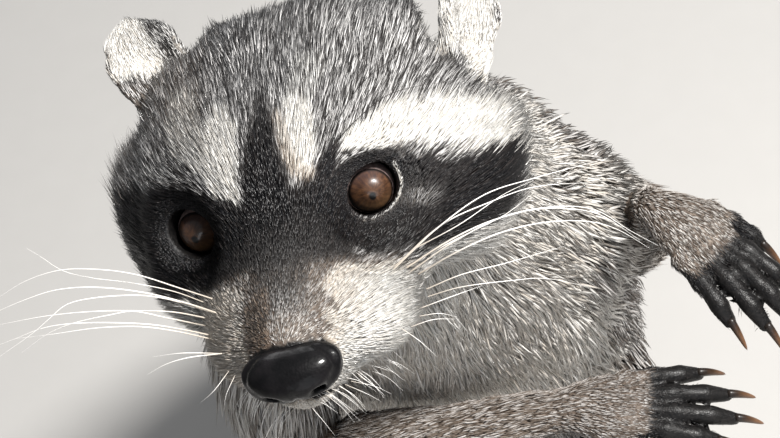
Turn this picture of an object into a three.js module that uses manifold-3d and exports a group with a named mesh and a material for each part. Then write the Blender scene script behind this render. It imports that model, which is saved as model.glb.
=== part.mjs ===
// A raccoon sitting up on its haunches: head turned to its left and raised, both forepaws reaching out to
// that side, hind feet flat on the floor and the tail laid round behind.  Millimetres, +Z up.  The animal
// faces -Y, its left side is at +X, and the origin is the middle of the flat it sits on.
// Every solid is drawn out to the tips of the coat.
import * as THREE from "three";
import { mergeVertices } from "three/addons/utils/BufferGeometryUtils.js";
import Module from "manifold-3d";

const wasm = await Module();
wasm.setup();

// ---------- driving dimensions ----------
const GAP = 0.3; // parting gap between neighbouring pieces
const FAR = 900; // larger than the animal, for the halves of space that part it

// the head's own frame has its origin midway between the eyes; angles in degrees
const HEAD = { at: [28, -168, 393], pitch: 24, roll: -3.6, yaw: 16, heart: [0, 4, -8], detail: 6, blend: 12 };
// broad cranium, brow, full cheeks (the left one pushed out by the turned neck) and whisker pads
const HEAD_LUMPS = [
  { at: [1, 42, 4], size: [47, 46, 37] },
  { at: [24, 46, 12], size: [27, 31, 29] },
  { at: [-17, 45, 10], size: [20, 30, 26] },
  { at: [0, 16, 6], size: [37, 25, 23] },
  { at: [40, 33, -11], size: [28, 34, 28] },
  { at: [-29, 34, -12], size: [26, 34, 27] },
  { at: [22, 4, -17], size: [17, 20, 15] },
  { at: [-22, 4, -17], size: [17, 20, 15] },
  { at: [16, -24, -21], size: [17, 22, 12] },
  { at: [-12, -26, -21], size: [13, 20, 12] },
];
// the muzzle, and the lower jaw with the mouth closed
const HEAD_TAPERS = [
  { from: [0, 6, -13], to: [0, -44, -17], radii: [29, 11] },
  { from: [0, 4, -26], to: [0, -44, -28], radii: [17, 6.5] },
];
const MUZZLE_BEND = 0.045; // how far the muzzle leans to the left, for each millimetre ahead of the eyes
const EYE = { radius: 7.6, apart: 53, out: 18, up: 15 };
// the socket is a plug along the gaze, with its stations and girths in eye radii; the dish is a ball
const SOCKET = { reach: [-1.5, 0, 1.2, 3], girth: [1.05, 1.1, 1.1, 1.38] };
const DISH = { radius: 15, ahead: 13 };
const NOSE = { at: [2.4, -54.5, -19.4], size: [15.2, 8.8, 7.3], square: 0.85, narrowing: 0.014 };
// each ear runs from its root to its tip, and its hollow side faces along `opens`
const EAR = { width: 26, thick: 8, cup: 0.03, narrowing: 0.15 };
const EARS = {
  left: { root: [54, 44, 8], tip: [62.5, 66, 44], opens: [0.85, -0.5, 0.1] },
  right: { root: [-31.5, 45, 26], tip: [-36, 58.6, 47], opens: [-0.1, -0.75, 0.48] },
};

// spines run through the points of `at`, and `girth` is the half width and half depth there
const TRUNK = [
  { at: [0, 0, -20], girth: [76, 72] },
  { at: [0, 6, 48], girth: [87, 84] },
  { at: [2, -6, 114], girth: [90, 87] },
  { at: [7, -32, 184], girth: [83, 80] },
  { at: [15, -62, 250], girth: [77, 70] },
  { at: [21, -88, 302], girth: [71, 62] },
  { at: [25, -107, 344], girth: [68, 59] },
  { at: [26, -120, 374], girth: [57, 50] },
];
const TRUNK_CUTS = [98, 200, 296]; // heights that part the rump, belly, chest and neck

const TAIL = [
  { at: [2, 24, 62], girth: [24, 24] },
  { at: [-2, 84, 40], girth: [28, 28] },
  { at: [-30, 130, 31], girth: [32, 32] },
  { at: [-82, 158, 31], girth: [33, 32] },
  { at: [-134, 156, 30], girth: [31, 31] },
  { at: [-182, 134, 25], girth: [26, 26] },
  { at: [-214, 110, 21], girth: [21, 20] },
];
const TAIL_CUTS = [0.34, 0.56, 0.78]; // parts of the way along the spine

const ARMS = {
  left: { shoulder: [64, -64, 274], elbow: [80, -12, 188], wrist: [106, -54, 256] },
  right: { shoulder: [-36, -84, 274], elbow: [-26, -146, 202], wrist: [77, -117.5, 217.7] },
};
// half thicknesses at parts of the way from shoulder to elbow, and from elbow to wrist
const UPPER_ARM = [
  { along: 0, girth: [34, 34] },
  { along: 0.5, girth: [31, 31] },
  { along: 1, girth: [25, 25] },
];
const FOREARM = [
  { along: 0, girth: [19, 21.5] },
  { along: 0.25, girth: [20.5, 21] },
  { along: 0.55, girth: [14.8, 14.8] },
  { along: 1, girth: [10.2, 9.4] },
];
// a forepaw's directions: along the palm away from the wrist, and out of its furred back
const HANDS = {
  left: { along: [0.82, -0.57, 0.05], back: [0, -0.1, 1], curl: 36 },
  right: { along: [0.97, 0.06, 0.06], back: [0.05, -0.3, 0.95], curl: 26 },
};
const PALM = [
  { at: [0, -6, 1], girth: [8.8, 8.1] },
  { at: [0, 8.5, 1], girth: [12.2, 7.7] },
  { at: [0, 19.5, -1], girth: [14.2, 6.8] },
  { at: [0, 29.8, -3], girth: [11.5, 4.1] },
];
const FINGERS = { knuckles: 25.5, setBack: 12, across: 10.8, height: -2, thick: 4.4, length: 36, fan: 12, rings: 4, claw: 13 };

// hind legs are given for the left side and mirrored for the right
const HIND = { hip: [52, -8, 60], knee: [86, -92, 88], hock: [80, -40, 14] };
const THIGH = [
  { along: 0, girth: [43, 54] },
  { along: 0.45, girth: [42, 53] },
  { along: 1, girth: [34, 34] },
];
const SHANK = [
  { along: 0, girth: [27, 27] },
  { along: 0.55, girth: [23, 23] },
  { along: 1, girth: [19.5, 19.5] },
];
const FOOT = { heel: [80, -40, 0], turn: 6 };
const SOLE = [
  { at: [0, -9, 11], girth: [13.6, 12.4] },
  { at: [0, 22, 11], girth: [14.5, 12] },
  { at: [0, 48, 8.4], girth: [16.7, 9.2] },
  { at: [0, 74, 5.4], girth: [15.6, 5.9] },
];
const TOES = { knuckles: 68.6, setBack: 12.5, across: 12.9, height: 4.2, thick: 4.7, length: 22, fan: 14, rings: 5, claw: 10.4 };

// the five digits from the innermost outwards: share of the length, and share of the set back
const DIGITS = [
  { part: 0.72, back: 1 },
  { part: 0.95, back: 0.15 },
  { part: 1.08, back: 0 },
  { part: 1.04, back: 0.1 },
  { part: 0.86, back: 0.45 },
];
const DIGIT_BENDS = [0.45, 0.9, 1.35]; // of the curl, at each of a digit's three joints
const DIGIT_SWELL = [1.05, 0.95, 1.02, 0.8]; // of its thickness, from root to tip
// a claw's length, how deep it starts in the fingertip, and its arch and drop as shares of the length
const CLAW = { girth: 4.2, seat: 4.3, lift: 1.4, arch: 0.1, drop: 0.22, tip: 0.45 };

const FINISH = {
  grey: { color: 0x77706a, roughness: 0.95 },
  pale: { color: 0xb9b0a4, roughness: 0.95 },
  dark: { color: 0x1e1b1b, roughness: 0.8 },
  claw: { color: 0x6b4526, roughness: 0.35 },
  nose: { color: 0x0b0b0c, roughness: 0.25 },
  eye: { color: 0x3a2114, roughness: 0.05 },
};

// ---------- shapes ----------
const UP = new THREE.Vector3(0, 0, 1);
const degrees = THREE.MathUtils.degToRad;
const vec = (p) => new THREE.Vector3(...p);

function bare(geometry) {
  geometry.deleteAttribute("normal");
  geometry.deleteAttribute("uv");
  return mergeVertices(geometry, 1e-4);
}

// Moves every vertex of a geometry to where `place` puts it.
function reshaped(geometry, place) {
  const position = geometry.getAttribute("position");
  const point = new THREE.Vector3();
  for (let i = 0; i < position.count; i++) {
    place(point.fromBufferAttribute(position, i));
    position.setXYZ(i, point.x, point.y, point.z);
  }
  return bare(geometry);
}

// A closed form along a spine: a sphere whose parallels become the spine's sections.  `side` points along
// each section's width, and a lower `ends` rounds the two ends more bluntly.
function limb(stations, { sides = 10, rings = 8, side = [1, 0, 0], ends = 0.5 } = {}) {
  const spine = new THREE.CatmullRomCurve3(stations.map((s) => vec(s.at)));
  const girth = new THREE.CatmullRomCurve3(stations.map((s) => vec([...s.girth, 0])));
  const hint = vec(side);
  return reshaped(new THREE.SphereGeometry(1, sides, rings), (p) => {
    const polar = Math.acos(THREE.MathUtils.clamp(p.y, -1, 1));
    const t = 1 - polar / Math.PI;
    const around = Math.atan2(p.z, p.x);
    const atPole = polar < 1e-6 || polar > Math.PI - 1e-6;
    const round = atPole ? 0 : Math.sin(polar) ** ends;
    const tangent = spine.getTangent(t);
    const across = hint.clone().addScaledVector(tangent, -hint.dot(tangent)).normalize();
    const deep = new THREE.Vector3().crossVectors(across, tangent);
    const size = girth.getPoint(t).multiplyScalar(round);
    p.copy(spine.getPoint(t));
    p.addScaledVector(across, Math.cos(around) * size.x);
    p.addScaledVector(deep, Math.sin(around) * size.y);
  });
}

// Stations placed along a straight bone.
const along = (from, to, parts) =>
  parts.map((part) => ({ at: vec(from).lerp(vec(to), part.along).toArray(), girth: part.girth }));

// Distances (roughly) from a point to the forms that a head is made of, and their soft union.
const lump = ({ at, size }) => (p) => {
  const q = p.clone().sub(vec(at)).divide(vec(size));
  return (q.length() - 1) * Math.min(...size);
};
const taper = ({ from, to, radii }) => (p) => {
  const axis = vec(to).sub(vec(from));
  const t = THREE.MathUtils.clamp(p.clone().sub(vec(from)).dot(axis) / axis.lengthSq(), 0, 1);
  return p.distanceTo(vec(from).addScaledVector(axis, t)) - THREE.MathUtils.lerp(...radii, t);
};
function softUnion(fields, blend) {
  const soft = (a, b) => Math.min(a, b) - Math.max(blend - Math.abs(a - b), 0) ** 2 / (4 * blend);
  return (p) => fields.map((field) => field(p)).reduce(soft);
}

// An icosphere pushed out from `centre` to where the field is zero.
function blob(field, centre, detail, reach = 160) {
  const middle = vec(centre);
  return reshaped(new THREE.IcosahedronGeometry(1, detail), (p) => {
    const way = p.clone().normalize();
    let inside = 0;
    let outside = reach;
    for (let step = 0; step < 30; step++) {
      const half = (inside + outside) / 2;
      if (field(middle.clone().addScaledVector(way, half)) < 0) inside = half;
      else outside = half;
    }
    p.copy(middle).addScaledVector(way, inside);
  });
}

// ---------- cutting and joining ----------
function solid(geometry) {
  const merged = bare(geometry.clone());
  const mesh = new wasm.Mesh({
    numProp: 3,
    vertProperties: merged.getAttribute("position").array,
    triVerts: new Uint32Array(merged.index.array),
  });
  return new wasm.Manifold(mesh);
}

function geometryOf(shape) {
  const { vertProperties, triVerts } = shape.getMesh();
  return new THREE.BufferGeometry()
    .setAttribute("position", new THREE.BufferAttribute(vertProperties, 3))
    .setIndex(new THREE.BufferAttribute(triVerts, 1));
}

// The same closed form, larger by the parting gap all round.
function grown(geometry) {
  const fat = bare(geometry.clone());
  fat.computeVertexNormals();
  const position = fat.getAttribute("position");
  const normal = fat.getAttribute("normal");
  const point = new THREE.Vector3();
  const way = new THREE.Vector3();
  for (let i = 0; i < position.count; i++) {
    point.fromBufferAttribute(position, i).addScaledVector(way.fromBufferAttribute(normal, i), GAP);
    position.setXYZ(i, point.x, point.y, point.z);
  }
  return bare(fat);
}

const joined = (pieces) => geometryOf(pieces.map(solid).reduce((a, b) => a.add(b)));
const cutBy = (piece, ...tools) =>
  geometryOf(tools.map(solid).reduce((a, b) => a.subtract(b), solid(piece)));
const keptIn = (piece, ...spaces) =>
  geometryOf(spaces.map(solid).reduce((a, b) => a.intersect(b), solid(piece)));

// The half of space beyond a plane that faces along `normal`.
function halfSpace(point, normal) {
  const box = new THREE.BoxGeometry(FAR, FAR, FAR).translate(0, 0, FAR / 2);
  const turn = new THREE.Quaternion().setFromUnitVectors(UP, normal.clone().normalize());
  return box.applyQuaternion(turn).translate(point.x, point.y, point.z);
}

// Parts a form by planes, each a point and a direction along the form, with the gap between neighbours.
function lengths(geometry, planes) {
  const ways = planes.map(({ point, normal }) => ({
    after: halfSpace(point.clone().addScaledVector(normal, GAP / 2), normal),
    before: halfSpace(point.clone().addScaledVector(normal, -GAP / 2), normal.clone().negate()),
  }));
  return [...ways, null].map((way, i) => {
    const spaces = [];
    if (i > 0) spaces.push(ways[i - 1].after);
    if (way) spaces.push(way.before);
    return keptIn(geometry, ...spaces);
  });
}

const aboveFloor = (geometry) => keptIn(geometry, halfSpace(new THREE.Vector3(), UP));

// ---------- the model ----------
const raccoon = new THREE.Group();

function add(parent, name, geometry, finish) {
  const body = geometry.toNonIndexed();
  body.computeVertexNormals();
  const mesh = new THREE.Mesh(body, new THREE.MeshStandardMaterial({ ...FINISH[finish], metalness: 0 }));
  mesh.name = name;
  parent.add(mesh);
}

// The turn that brings +Z to `up` exactly and +Y to `forward` as nearly as it can.
function facing(forward, up) {
  const z = up.clone().normalize();
  const x = new THREE.Vector3().crossVectors(forward, z).normalize();
  const y = new THREE.Vector3().crossVectors(z, x);
  return new THREE.Quaternion().setFromRotationMatrix(new THREE.Matrix4().makeBasis(x, y, z));
}

// A geometry of one group, seen in the part's own frame.
function inPartFrame(geometry, group) {
  group.updateWorldMatrix(true, false);
  return geometry.clone().applyMatrix4(group.matrixWorld);
}

// --- head ---
// Where an eye looks, for the left side (1) or the right (-1).
function gaze(sign) {
  const out = degrees(EYE.out);
  const level = new THREE.Vector3(sign * Math.sin(out), -Math.cos(out), 0);
  return level.multiplyScalar(Math.cos(degrees(EYE.up))).addScaledVector(UP, Math.sin(degrees(EYE.up)));
}

// A point on the line of the gaze, ahead of the front of the cornea.
const aheadOfEye = (sign, reach) => vec([(sign * EYE.apart) / 2, 0, 0]).addScaledVector(gaze(sign), reach);

function headForm() {
  const flesh = softUnion([...HEAD_LUMPS.map(lump), ...HEAD_TAPERS.map(taper)], HEAD.blend);
  const form = blob(flesh, HEAD.heart, HEAD.detail);
  return reshaped(form, (p) => (p.x -= Math.min(p.y, 0) * MUZZLE_BEND));
}

function noseForm() {
  const squared = (x) => Math.sign(x) * Math.abs(x) ** NOSE.square;
  return reshaped(new THREE.IcosahedronGeometry(1, 2), (p) => {
    p.set(squared(p.x), p.y, squared(p.z)).multiply(vec(NOSE.size));
    p.x *= 1 - NOSE.narrowing * (NOSE.size[2] - p.z);
    p.add(vec(NOSE.at));
  });
}

function eyeForm(sign) {
  const middle = aheadOfEye(sign, -EYE.radius);
  return new THREE.SphereGeometry(EYE.radius, 10, 8).translate(middle.x, middle.y, middle.z);
}

function socketForm(sign) {
  const stations = SOCKET.reach.map((reach, i) => {
    const girth = EYE.radius * SOCKET.girth[i];
    return { at: aheadOfEye(sign, EYE.radius * (reach - 1)).toArray(), girth: [girth, girth] };
  });
  return limb(stations, { sides: 12, ends: 0.3 });
}

// The shallow dish in the face round an eye.
function dishForm(sign) {
  const middle = aheadOfEye(sign, DISH.ahead);
  return new THREE.SphereGeometry(DISH.radius, 14, 10).translate(middle.x, middle.y, middle.z);
}

function earForm(length) {
  return reshaped(new THREE.SphereGeometry(1, 10, 8), (p) => {
    const height = (p.y + 1) / 2;
    const x = (p.x * EAR.width * (1 - EAR.narrowing * height)) / 2;
    p.set(x, -p.z * (EAR.thick / 2) - EAR.cup * x * x, height * length);
  });
}

const headGroup = new THREE.Group();
headGroup.position.set(...HEAD.at);
headGroup.rotation.set(degrees(-HEAD.pitch), degrees(HEAD.roll), degrees(HEAD.yaw), "ZXY");
raccoon.add(headGroup);

const head = headForm();
const nose = noseForm();
const hollows = [1, -1].flatMap((sign) => [dishForm(sign), socketForm(sign)]);
add(headGroup, "head", cutBy(head, grown(nose), ...hollows), "grey");
add(headGroup, "nose", nose, "nose");
add(headGroup, "left_eye", eyeForm(1), "eye");
add(headGroup, "right_eye", eyeForm(-1), "eye");

function addEar(side) {
  const { root, tip, opens } = EARS[side];
  const reach = vec(tip).sub(vec(root));
  const group = new THREE.Group();
  group.position.set(...root);
  group.quaternion.copy(facing(vec(opens).negate(), reach));
  headGroup.add(group);
  group.updateMatrix();
  const skull = grown(head).applyMatrix4(group.matrix.clone().invert());
  add(group, `${side}_ear`, cutBy(earForm(reach.length()), skull), "grey");
}
addEar("left");
addEar("right");

// --- trunk and neck ---
const trunk = aboveFloor(limb(TRUNK, { sides: 20, rings: 16, ends: 0.36 }));
const solidTrunk = grown(trunk);
const levels = TRUNK_CUTS.map((z) => ({ point: new THREE.Vector3(0, 0, z), normal: UP }));
const [rump, belly, chest, neck] = lengths(trunk, levels);
add(raccoon, "rump", rump, "grey");
add(raccoon, "belly", belly, "pale");
add(raccoon, "chest", chest, "pale");
add(raccoon, "neck", cutBy(neck, grown(inPartFrame(head, headGroup))), "grey");

// --- tail ---
function tailLengths() {
  const spine = new THREE.CatmullRomCurve3(TAIL.map((s) => vec(s.at)));
  const planes = TAIL_CUTS.map((t) => ({ point: spine.getPoint(t), normal: spine.getTangent(t) }));
  const form = aboveFloor(limb(TAIL, { sides: 14, rings: 14, side: [0, 0, 1], ends: 0.4 }));
  return lengths(cutBy(form, solidTrunk), planes);
}
tailLengths().forEach((piece, i) => add(raccoon, `tail_${i + 1}`, piece, i % 2 ? "dark" : "grey"));

// --- paws: a palm or sole with five clawed digits, built along +Y with the back of the paw up ---
// One digit from its root, turned by `spread` to the side; its spine curls down joint by joint.
function digitForm({ root, spread, length, thick, curl, rings }) {
  const way = new THREE.Vector3(Math.sin(degrees(spread)), Math.cos(degrees(spread)), 0);
  const points = [vec(root)];
  for (const share of DIGIT_BENDS) {
    const bend = degrees(curl * share);
    const step = way.clone().multiplyScalar(Math.cos(bend)).addScaledVector(UP, -Math.sin(bend));
    points.push(points[points.length - 1].clone().addScaledVector(step, length / 3));
  }
  const stations = points.map((p, i) => ({
    at: p.toArray(),
    girth: [thick * DIGIT_SWELL[i], thick * DIGIT_SWELL[i]],
  }));
  const form = limb(stations, { sides: 6, rings, side: [way.y, -way.x, 0] });
  return { form, way, tip: points[3], last: points[2] };
}

function clawForm({ tip, last, way, claw }) {
  const forward = tip.clone().sub(last).normalize();
  const place = (reach, lift) =>
    tip
      .clone()
      .addScaledVector(forward, reach - CLAW.seat)
      .addScaledVector(UP, lift)
      .toArray();
  const stations = [
    { at: place(0, CLAW.lift), girth: [CLAW.girth * 0.5, CLAW.girth * 0.6] },
    {
      at: place(claw * 0.55, CLAW.lift + claw * CLAW.arch),
      girth: [CLAW.girth * 0.36, CLAW.girth * 0.48],
    },
    { at: place(claw, CLAW.lift - claw * CLAW.drop), girth: [CLAW.tip, CLAW.tip] },
  ];
  return limb(stations, { sides: 5, rings: 4, side: [way.y, -way.x, 0] });
}

// The digits of one paw; `inner` is the side, 1 or -1 along X, that the innermost one is on.
function digitsOf(sizes, curl, inner) {
  const { knuckles, setBack, across, height, thick, length, fan, rings, claw } = sizes;
  return DIGITS.map(({ part, back }, i) => {
    const place = (inner * (2 - i)) / 2;
    const root = [place * across, knuckles - setBack * back, height];
    return { ...digitForm({ root, spread: place * fan, length: length * part, thick, curl, rings }), claw };
  });
}

// Adds a paw and its claws, and returns the paw uncut, for its neighbours to be cut by.
function addPaw(parent, name, palm, digits, floor = (form) => form) {
  const claws = digits.map(clawForm);
  const body = joined([palm, ...digits.map((digit) => digit.form)]);
  add(parent, name, floor(cutBy(body, ...claws.map(grown))), "dark");
  claws.forEach((claw, i) => add(parent, `${name}_claw_${i + 1}`, claw, "claw"));
  return inPartFrame(body, parent);
}

// --- forelegs ---
function handGroup(side) {
  const forward = vec(HANDS[side].along).normalize();
  const back = vec(HANDS[side].back);
  const up = back.addScaledVector(forward, -back.dot(forward)).normalize();
  const basis = new THREE.Matrix4().makeBasis(new THREE.Vector3().crossVectors(forward, up), forward, up);
  const group = new THREE.Group();
  group.position.set(...ARMS[side].wrist);
  group.quaternion.setFromRotationMatrix(basis);
  return group;
}

function addForeleg(side) {
  const { shoulder, elbow, wrist } = ARMS[side];
  const group = handGroup(side);
  raccoon.add(group);
  const digits = digitsOf(FINGERS, HANDS[side].curl, side === "left" ? -1 : 1);
  const hand = addPaw(group, `${side}_hand`, limb(PALM, { rings: 6 }), digits);
  const upper = limb(along(shoulder, elbow, UPPER_ARM), { sides: 12, ends: 0.6 });
  const forearm = limb(along(elbow, wrist, FOREARM));
  add(raccoon, `${side}_upper_arm`, cutBy(upper, solidTrunk), "grey");
  add(raccoon, `${side}_forearm`, cutBy(forearm, grown(upper), solidTrunk, grown(hand)), "grey");
}
addForeleg("left");
addForeleg("right");

// --- hind legs ---
function addHindleg(side) {
  const sign = side === "left" ? 1 : -1;
  const place = ([x, y, z]) => [x * sign, y, z];
  const [hip, knee, hock] = [HIND.hip, HIND.knee, HIND.hock].map(place);
  const group = new THREE.Group();
  group.position.set(...place(FOOT.heel));
  group.rotation.z = degrees(180 + FOOT.turn * sign);
  raccoon.add(group);
  const foot = addPaw(group, `${side}_foot`, limb(SOLE), digitsOf(TOES, 0, -sign), aboveFloor);
  const thigh = aboveFloor(limb(along(hip, knee, THIGH), { sides: 14, ends: 0.6 }));
  const shank = limb(along(knee, hock, SHANK));
  add(raccoon, `${side}_thigh`, cutBy(thigh, solidTrunk, grown(foot)), "grey");
  add(raccoon, `${side}_shank`, cutBy(shank, grown(thigh), solidTrunk, grown(foot)), "grey");
}
addHindleg("left");
addHindleg("right");

export default raccoon;
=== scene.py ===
# The raccoon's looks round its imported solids: one skin under a coat of tufts, the eyes, the nose pad,
# the claws and the whiskers.
import math

import bmesh
import bpy
import numpy as np
from mathutils import Euler, Matrix, Vector
from mathutils.kdtree import KDTree


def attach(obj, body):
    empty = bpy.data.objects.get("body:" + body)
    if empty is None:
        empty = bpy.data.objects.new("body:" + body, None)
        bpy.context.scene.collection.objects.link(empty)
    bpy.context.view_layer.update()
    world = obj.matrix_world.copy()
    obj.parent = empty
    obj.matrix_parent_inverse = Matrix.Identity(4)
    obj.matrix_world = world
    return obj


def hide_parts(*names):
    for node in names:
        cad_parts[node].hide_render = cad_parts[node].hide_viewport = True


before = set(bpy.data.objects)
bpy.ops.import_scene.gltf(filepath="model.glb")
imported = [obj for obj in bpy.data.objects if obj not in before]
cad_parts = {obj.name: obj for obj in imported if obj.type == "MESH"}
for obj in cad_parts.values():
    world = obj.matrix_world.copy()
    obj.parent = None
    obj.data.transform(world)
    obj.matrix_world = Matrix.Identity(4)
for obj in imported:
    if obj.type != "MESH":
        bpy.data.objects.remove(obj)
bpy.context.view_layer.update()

MM = 0.001  # everything below is worked out in millimetres, and meshes are made in metres
FAR = 60.0  # a distance that stands for "nowhere near"
SIDES = {"left": 1, "right": -1}  # the sign of x on each side of the animal

# ---------- the animal's sizes, as its solids have them ----------
HEAD = {"at": (28, -168, 393), "pitch": 24, "roll": -3.6, "yaw": 16, "blend": 12}
HEAD_LUMPS = [
    ((1, 42, 4), (47, 46, 37)),
    ((24, 46, 12), (27, 31, 29)),
    ((-17, 45, 10), (20, 30, 26)),
    ((0, 16, 6), (37, 25, 23)),
    ((40, 33, -11), (28, 34, 28)),
    ((-29, 34, -12), (26, 34, 27)),
    ((22, 4, -17), (17, 20, 15)),
    ((-22, 4, -17), (17, 20, 15)),
    ((16, -24, -21), (17, 22, 12)),
    ((-12, -26, -21), (13, 20, 12)),
]
HEAD_TAPERS = [((0, 6, -13), (0, -44, -17), 29, 11), ((0, 4, -26), (0, -44, -28), 17, 6.5)]
MUZZLE_BEND = 0.045
EYE = {"radius": 7.6, "apart": 53, "out": 18, "up": 15, "lid": 0.9, "gap": 0.12}
DISH = {"radius": 15, "ahead": 13}
NOSE = {"at": (2.4, -54.5, -19.4), "size": (15.2, 8.8, 7.3), "square": 0.85, "narrowing": 0.014}
EAR_CUP = 0.03
EARS = {
    "left": {
        "root": (54, 44, 8), "tip": (62.5, 66, 44), "opens": (0.85, -0.5, 0.1),
        "lean": 0, "round": 11.5, "radii": (5, 12.6, 10),
    },
    "right": {
        "root": (-31.5, 45, 26), "tip": (-36, 58.6, 47), "opens": (-0.1, -0.75, 0.48),
        "lean": -1, "round": 9, "radii": (6, 11.5, 8.5),
    },
}
# spines: each station is a point and the half width and half depth there
TRUNK = [
    ((0, 0, -20), (76, 72)),
    ((0, 6, 48), (87, 84)),
    ((2, -6, 114), (90, 87)),
    ((7, -32, 184), (83, 80)),
    ((15, -62, 250), (77, 70)),
    ((21, -88, 302), (71, 62)),
    ((25, -107, 344), (68, 59)),
    ((26, -120, 374), (57, 50)),
]
TAIL = [
    ((2, 24, 62), (24, 24)),
    ((-2, 84, 40), (28, 28)),
    ((-30, 130, 31), (32, 32)),
    ((-82, 158, 31), (33, 32)),
    ((-134, 156, 30), (31, 31)),
    ((-182, 134, 25), (26, 26)),
    ((-214, 110, 21), (21, 20)),
]
ARMS = {
    "left": {"shoulder": (64, -64, 274), "elbow": (80, -12, 188), "wrist": (106, -54, 256)},
    "right": {"shoulder": (-36, -84, 274), "elbow": (-26, -146, 202), "wrist": (77, -117.5, 217.7)},
}
UPPER_ARM = [(0, (34, 34)), (0.5, (31, 31)), (1, (25, 25))]
FOREARM = [(0, (19, 21.5)), (0.25, (20.5, 21)), (0.55, (14.8, 14.8)), (1, (10.2, 9.4))]
HANDS = {
    "left": {"along": (0.82, -0.57, 0.05), "back": (0, -0.1, 1), "curl": 36},
    "right": {"along": (0.97, 0.06, 0.06), "back": (0.05, -0.3, 0.95), "curl": 26},
}
# along a palm or a sole: points, and half widths and half depths there; then the digits' knuckles along,
# across and up the paw, their thickness and length, their fan in degrees, and their claws' length
PALM = [
    ((0, -6, 1), (8.8, 8.1)),
    ((0, 8.5, 1), (12.2, 7.7)),
    ((0, 19.5, -1), (14.2, 6.8)),
    ((0, 29.8, -3), (11.5, 4.1)),
]
FINGERS = {
    "knuckles": 25.5, "set_back": 12, "across": 10.8, "height": -2,
    "thick": 4.4, "length": 36, "fan": 12, "claw": 13,
}
HIND = {"hip": (52, -8, 60), "knee": (86, -92, 88), "hock": (80, -40, 14)}
THIGH = [(0, (43, 54)), (0.45, (42, 53)), (1, (34, 34))]
SHANK = [(0, (27, 27)), (0.55, (23, 23)), (1, (19.5, 19.5))]
FOOT = {"heel": (80, -40, 0), "turn": 6}
SOLE = [
    ((0, -9, 11), (13.6, 12.4)),
    ((0, 22, 11), (14.5, 12)),
    ((0, 48, 8.4), (16.7, 9.2)),
    ((0, 74, 5.4), (15.6, 5.9)),
]
TOES = {
    "knuckles": 68.6, "set_back": 12.5, "across": 12.9, "height": 4.2,
    "thick": 4.7, "length": 22, "fan": 14, "claw": 10.4,
}
# from the inner digit out: its length, and how far back its knuckle is set, as shares of the paw's sizes
DIGITS = [(0.72, 1), (0.95, 0.15), (1.08, 0), (1.04, 0.1), (0.86, 0.45)]
DIGIT_BENDS = (0.45, 0.9, 1.35)
DIGIT_GIRTHS = (1.0, 0.8, 0.92, 0.78, 0.88, 0.62)
CLAW = {"girth": 4.2, "seat": 4.3, "lift": 1.4, "rings": 14, "segments": 12}
LEAST_GIRTH = 1.2  # a limb's spine stops where it would be thinner than this
LIMB_REACH = 26  # how far off a limb's field is still worked out
HEAD_REACH = 125  # the same for the head, from midway between the eyes
FLOOR_GAP = 0.4  # the skin stays this far above the floor


# ---------- small maths ----------
def arr(*values):
    return np.array(values, float)


def unit(v):
    return v / np.maximum(np.linalg.norm(v, axis=-1, keepdims=True), 1e-9)


def square_to(axis, v):
    """What is left of directions without their part along unit axes."""
    return v - axis * np.sum(v * axis, axis=1, keepdims=True)


def smooth(low, high, x):
    t = np.clip((x - low) / (high - low), 0, 1)
    return t * t * (3 - 2 * t)


def grid(*axes):
    """All the points of a grid, as rows."""
    return np.stack(np.meshgrid(*axes, indexing="ij"), -1).reshape(-1, 3)


def profile(x, *stations):
    """Straight runs between stations of (place, value)."""
    return np.interp(x, *np.array(stations, float).T)


def soft_min(a, b, blend):
    return np.minimum(a, b) - np.maximum(blend - np.abs(a - b), 0) ** 2 / (4 * blend)


def soft_max(a, b, blend):
    return -soft_min(-a, -b, blend)


def hills(p, size, seed):
    """Smooth bumps about `size` across, from -1 to 1."""
    draw = np.random.default_rng(seed)
    waves = unit(draw.normal(size=(8, 3))) * (math.tau / size) * draw.uniform(0.6, 1.4, (8, 1))
    return np.clip(np.sin(p @ waves.T + draw.uniform(0, math.tau, 8)).sum(1) / 3.2, -1, 1)


class Place:
    """A local frame: its origin in the part's frame, and its axes as the columns of a matrix."""

    def __init__(self, origin, axes):
        self.origin = np.array(origin, float)
        self.axes = np.array(axes, float)

    def local(self, p):
        return (p - self.origin) @ self.axes

    def part(self, p):
        return np.asarray(p, float) @ self.axes.T + self.origin

    def turned(self, v):
        return np.asarray(v, float) @ self.axes.T


def facing(forward, up):
    """Axes with Z along `up` exactly and Y along `forward` as nearly as it can be."""
    z = unit(np.array(up, float))
    x = unit(np.cross(forward, z))
    return np.stack([x, np.cross(z, x), z], 1)


HEAD_PLACE = Place(
    HEAD["at"],
    Matrix.Rotation(math.radians(HEAD["yaw"]), 3, "Z")
    @ Matrix.Rotation(math.radians(-HEAD["pitch"]), 3, "X")
    @ Matrix.Rotation(math.radians(HEAD["roll"]), 3, "Y"),
)


# ---------- forms as distance fields: negative inside ----------
def spine(points, count):
    """A centripetal Catmull-Rom curve, as `count` + 1 points at even steps of its parameter."""
    p = np.array(points, float)
    p = np.vstack([2 * p[0] - p[1], p, 2 * p[-1] - p[-2]])
    u = np.linspace(0, len(p) - 3, count + 1)
    i = np.minimum(u.astype(int), len(p) - 4)
    w = (u - i)[:, None]
    a, b, c, d = p[i], p[i + 1], p[i + 2], p[i + 3]
    chords = (b - a, c - b, d - c)
    before, between, after = (np.sqrt(np.linalg.norm(e, axis=1, keepdims=True)) for e in chords)
    out = ((b - a) / before - (c - a) / (before + between) + (c - b) / between) * between
    into = ((c - b) / between - (d - b) / (between + after) + (d - c) / after) * between
    w2, w3 = w * w, w * w * w
    return (2 * w3 - 3 * w2 + 1) * b + (w3 - 2 * w2 + w) * out + (3 * w2 - 2 * w3) * c + (w3 - w2) * into


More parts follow.
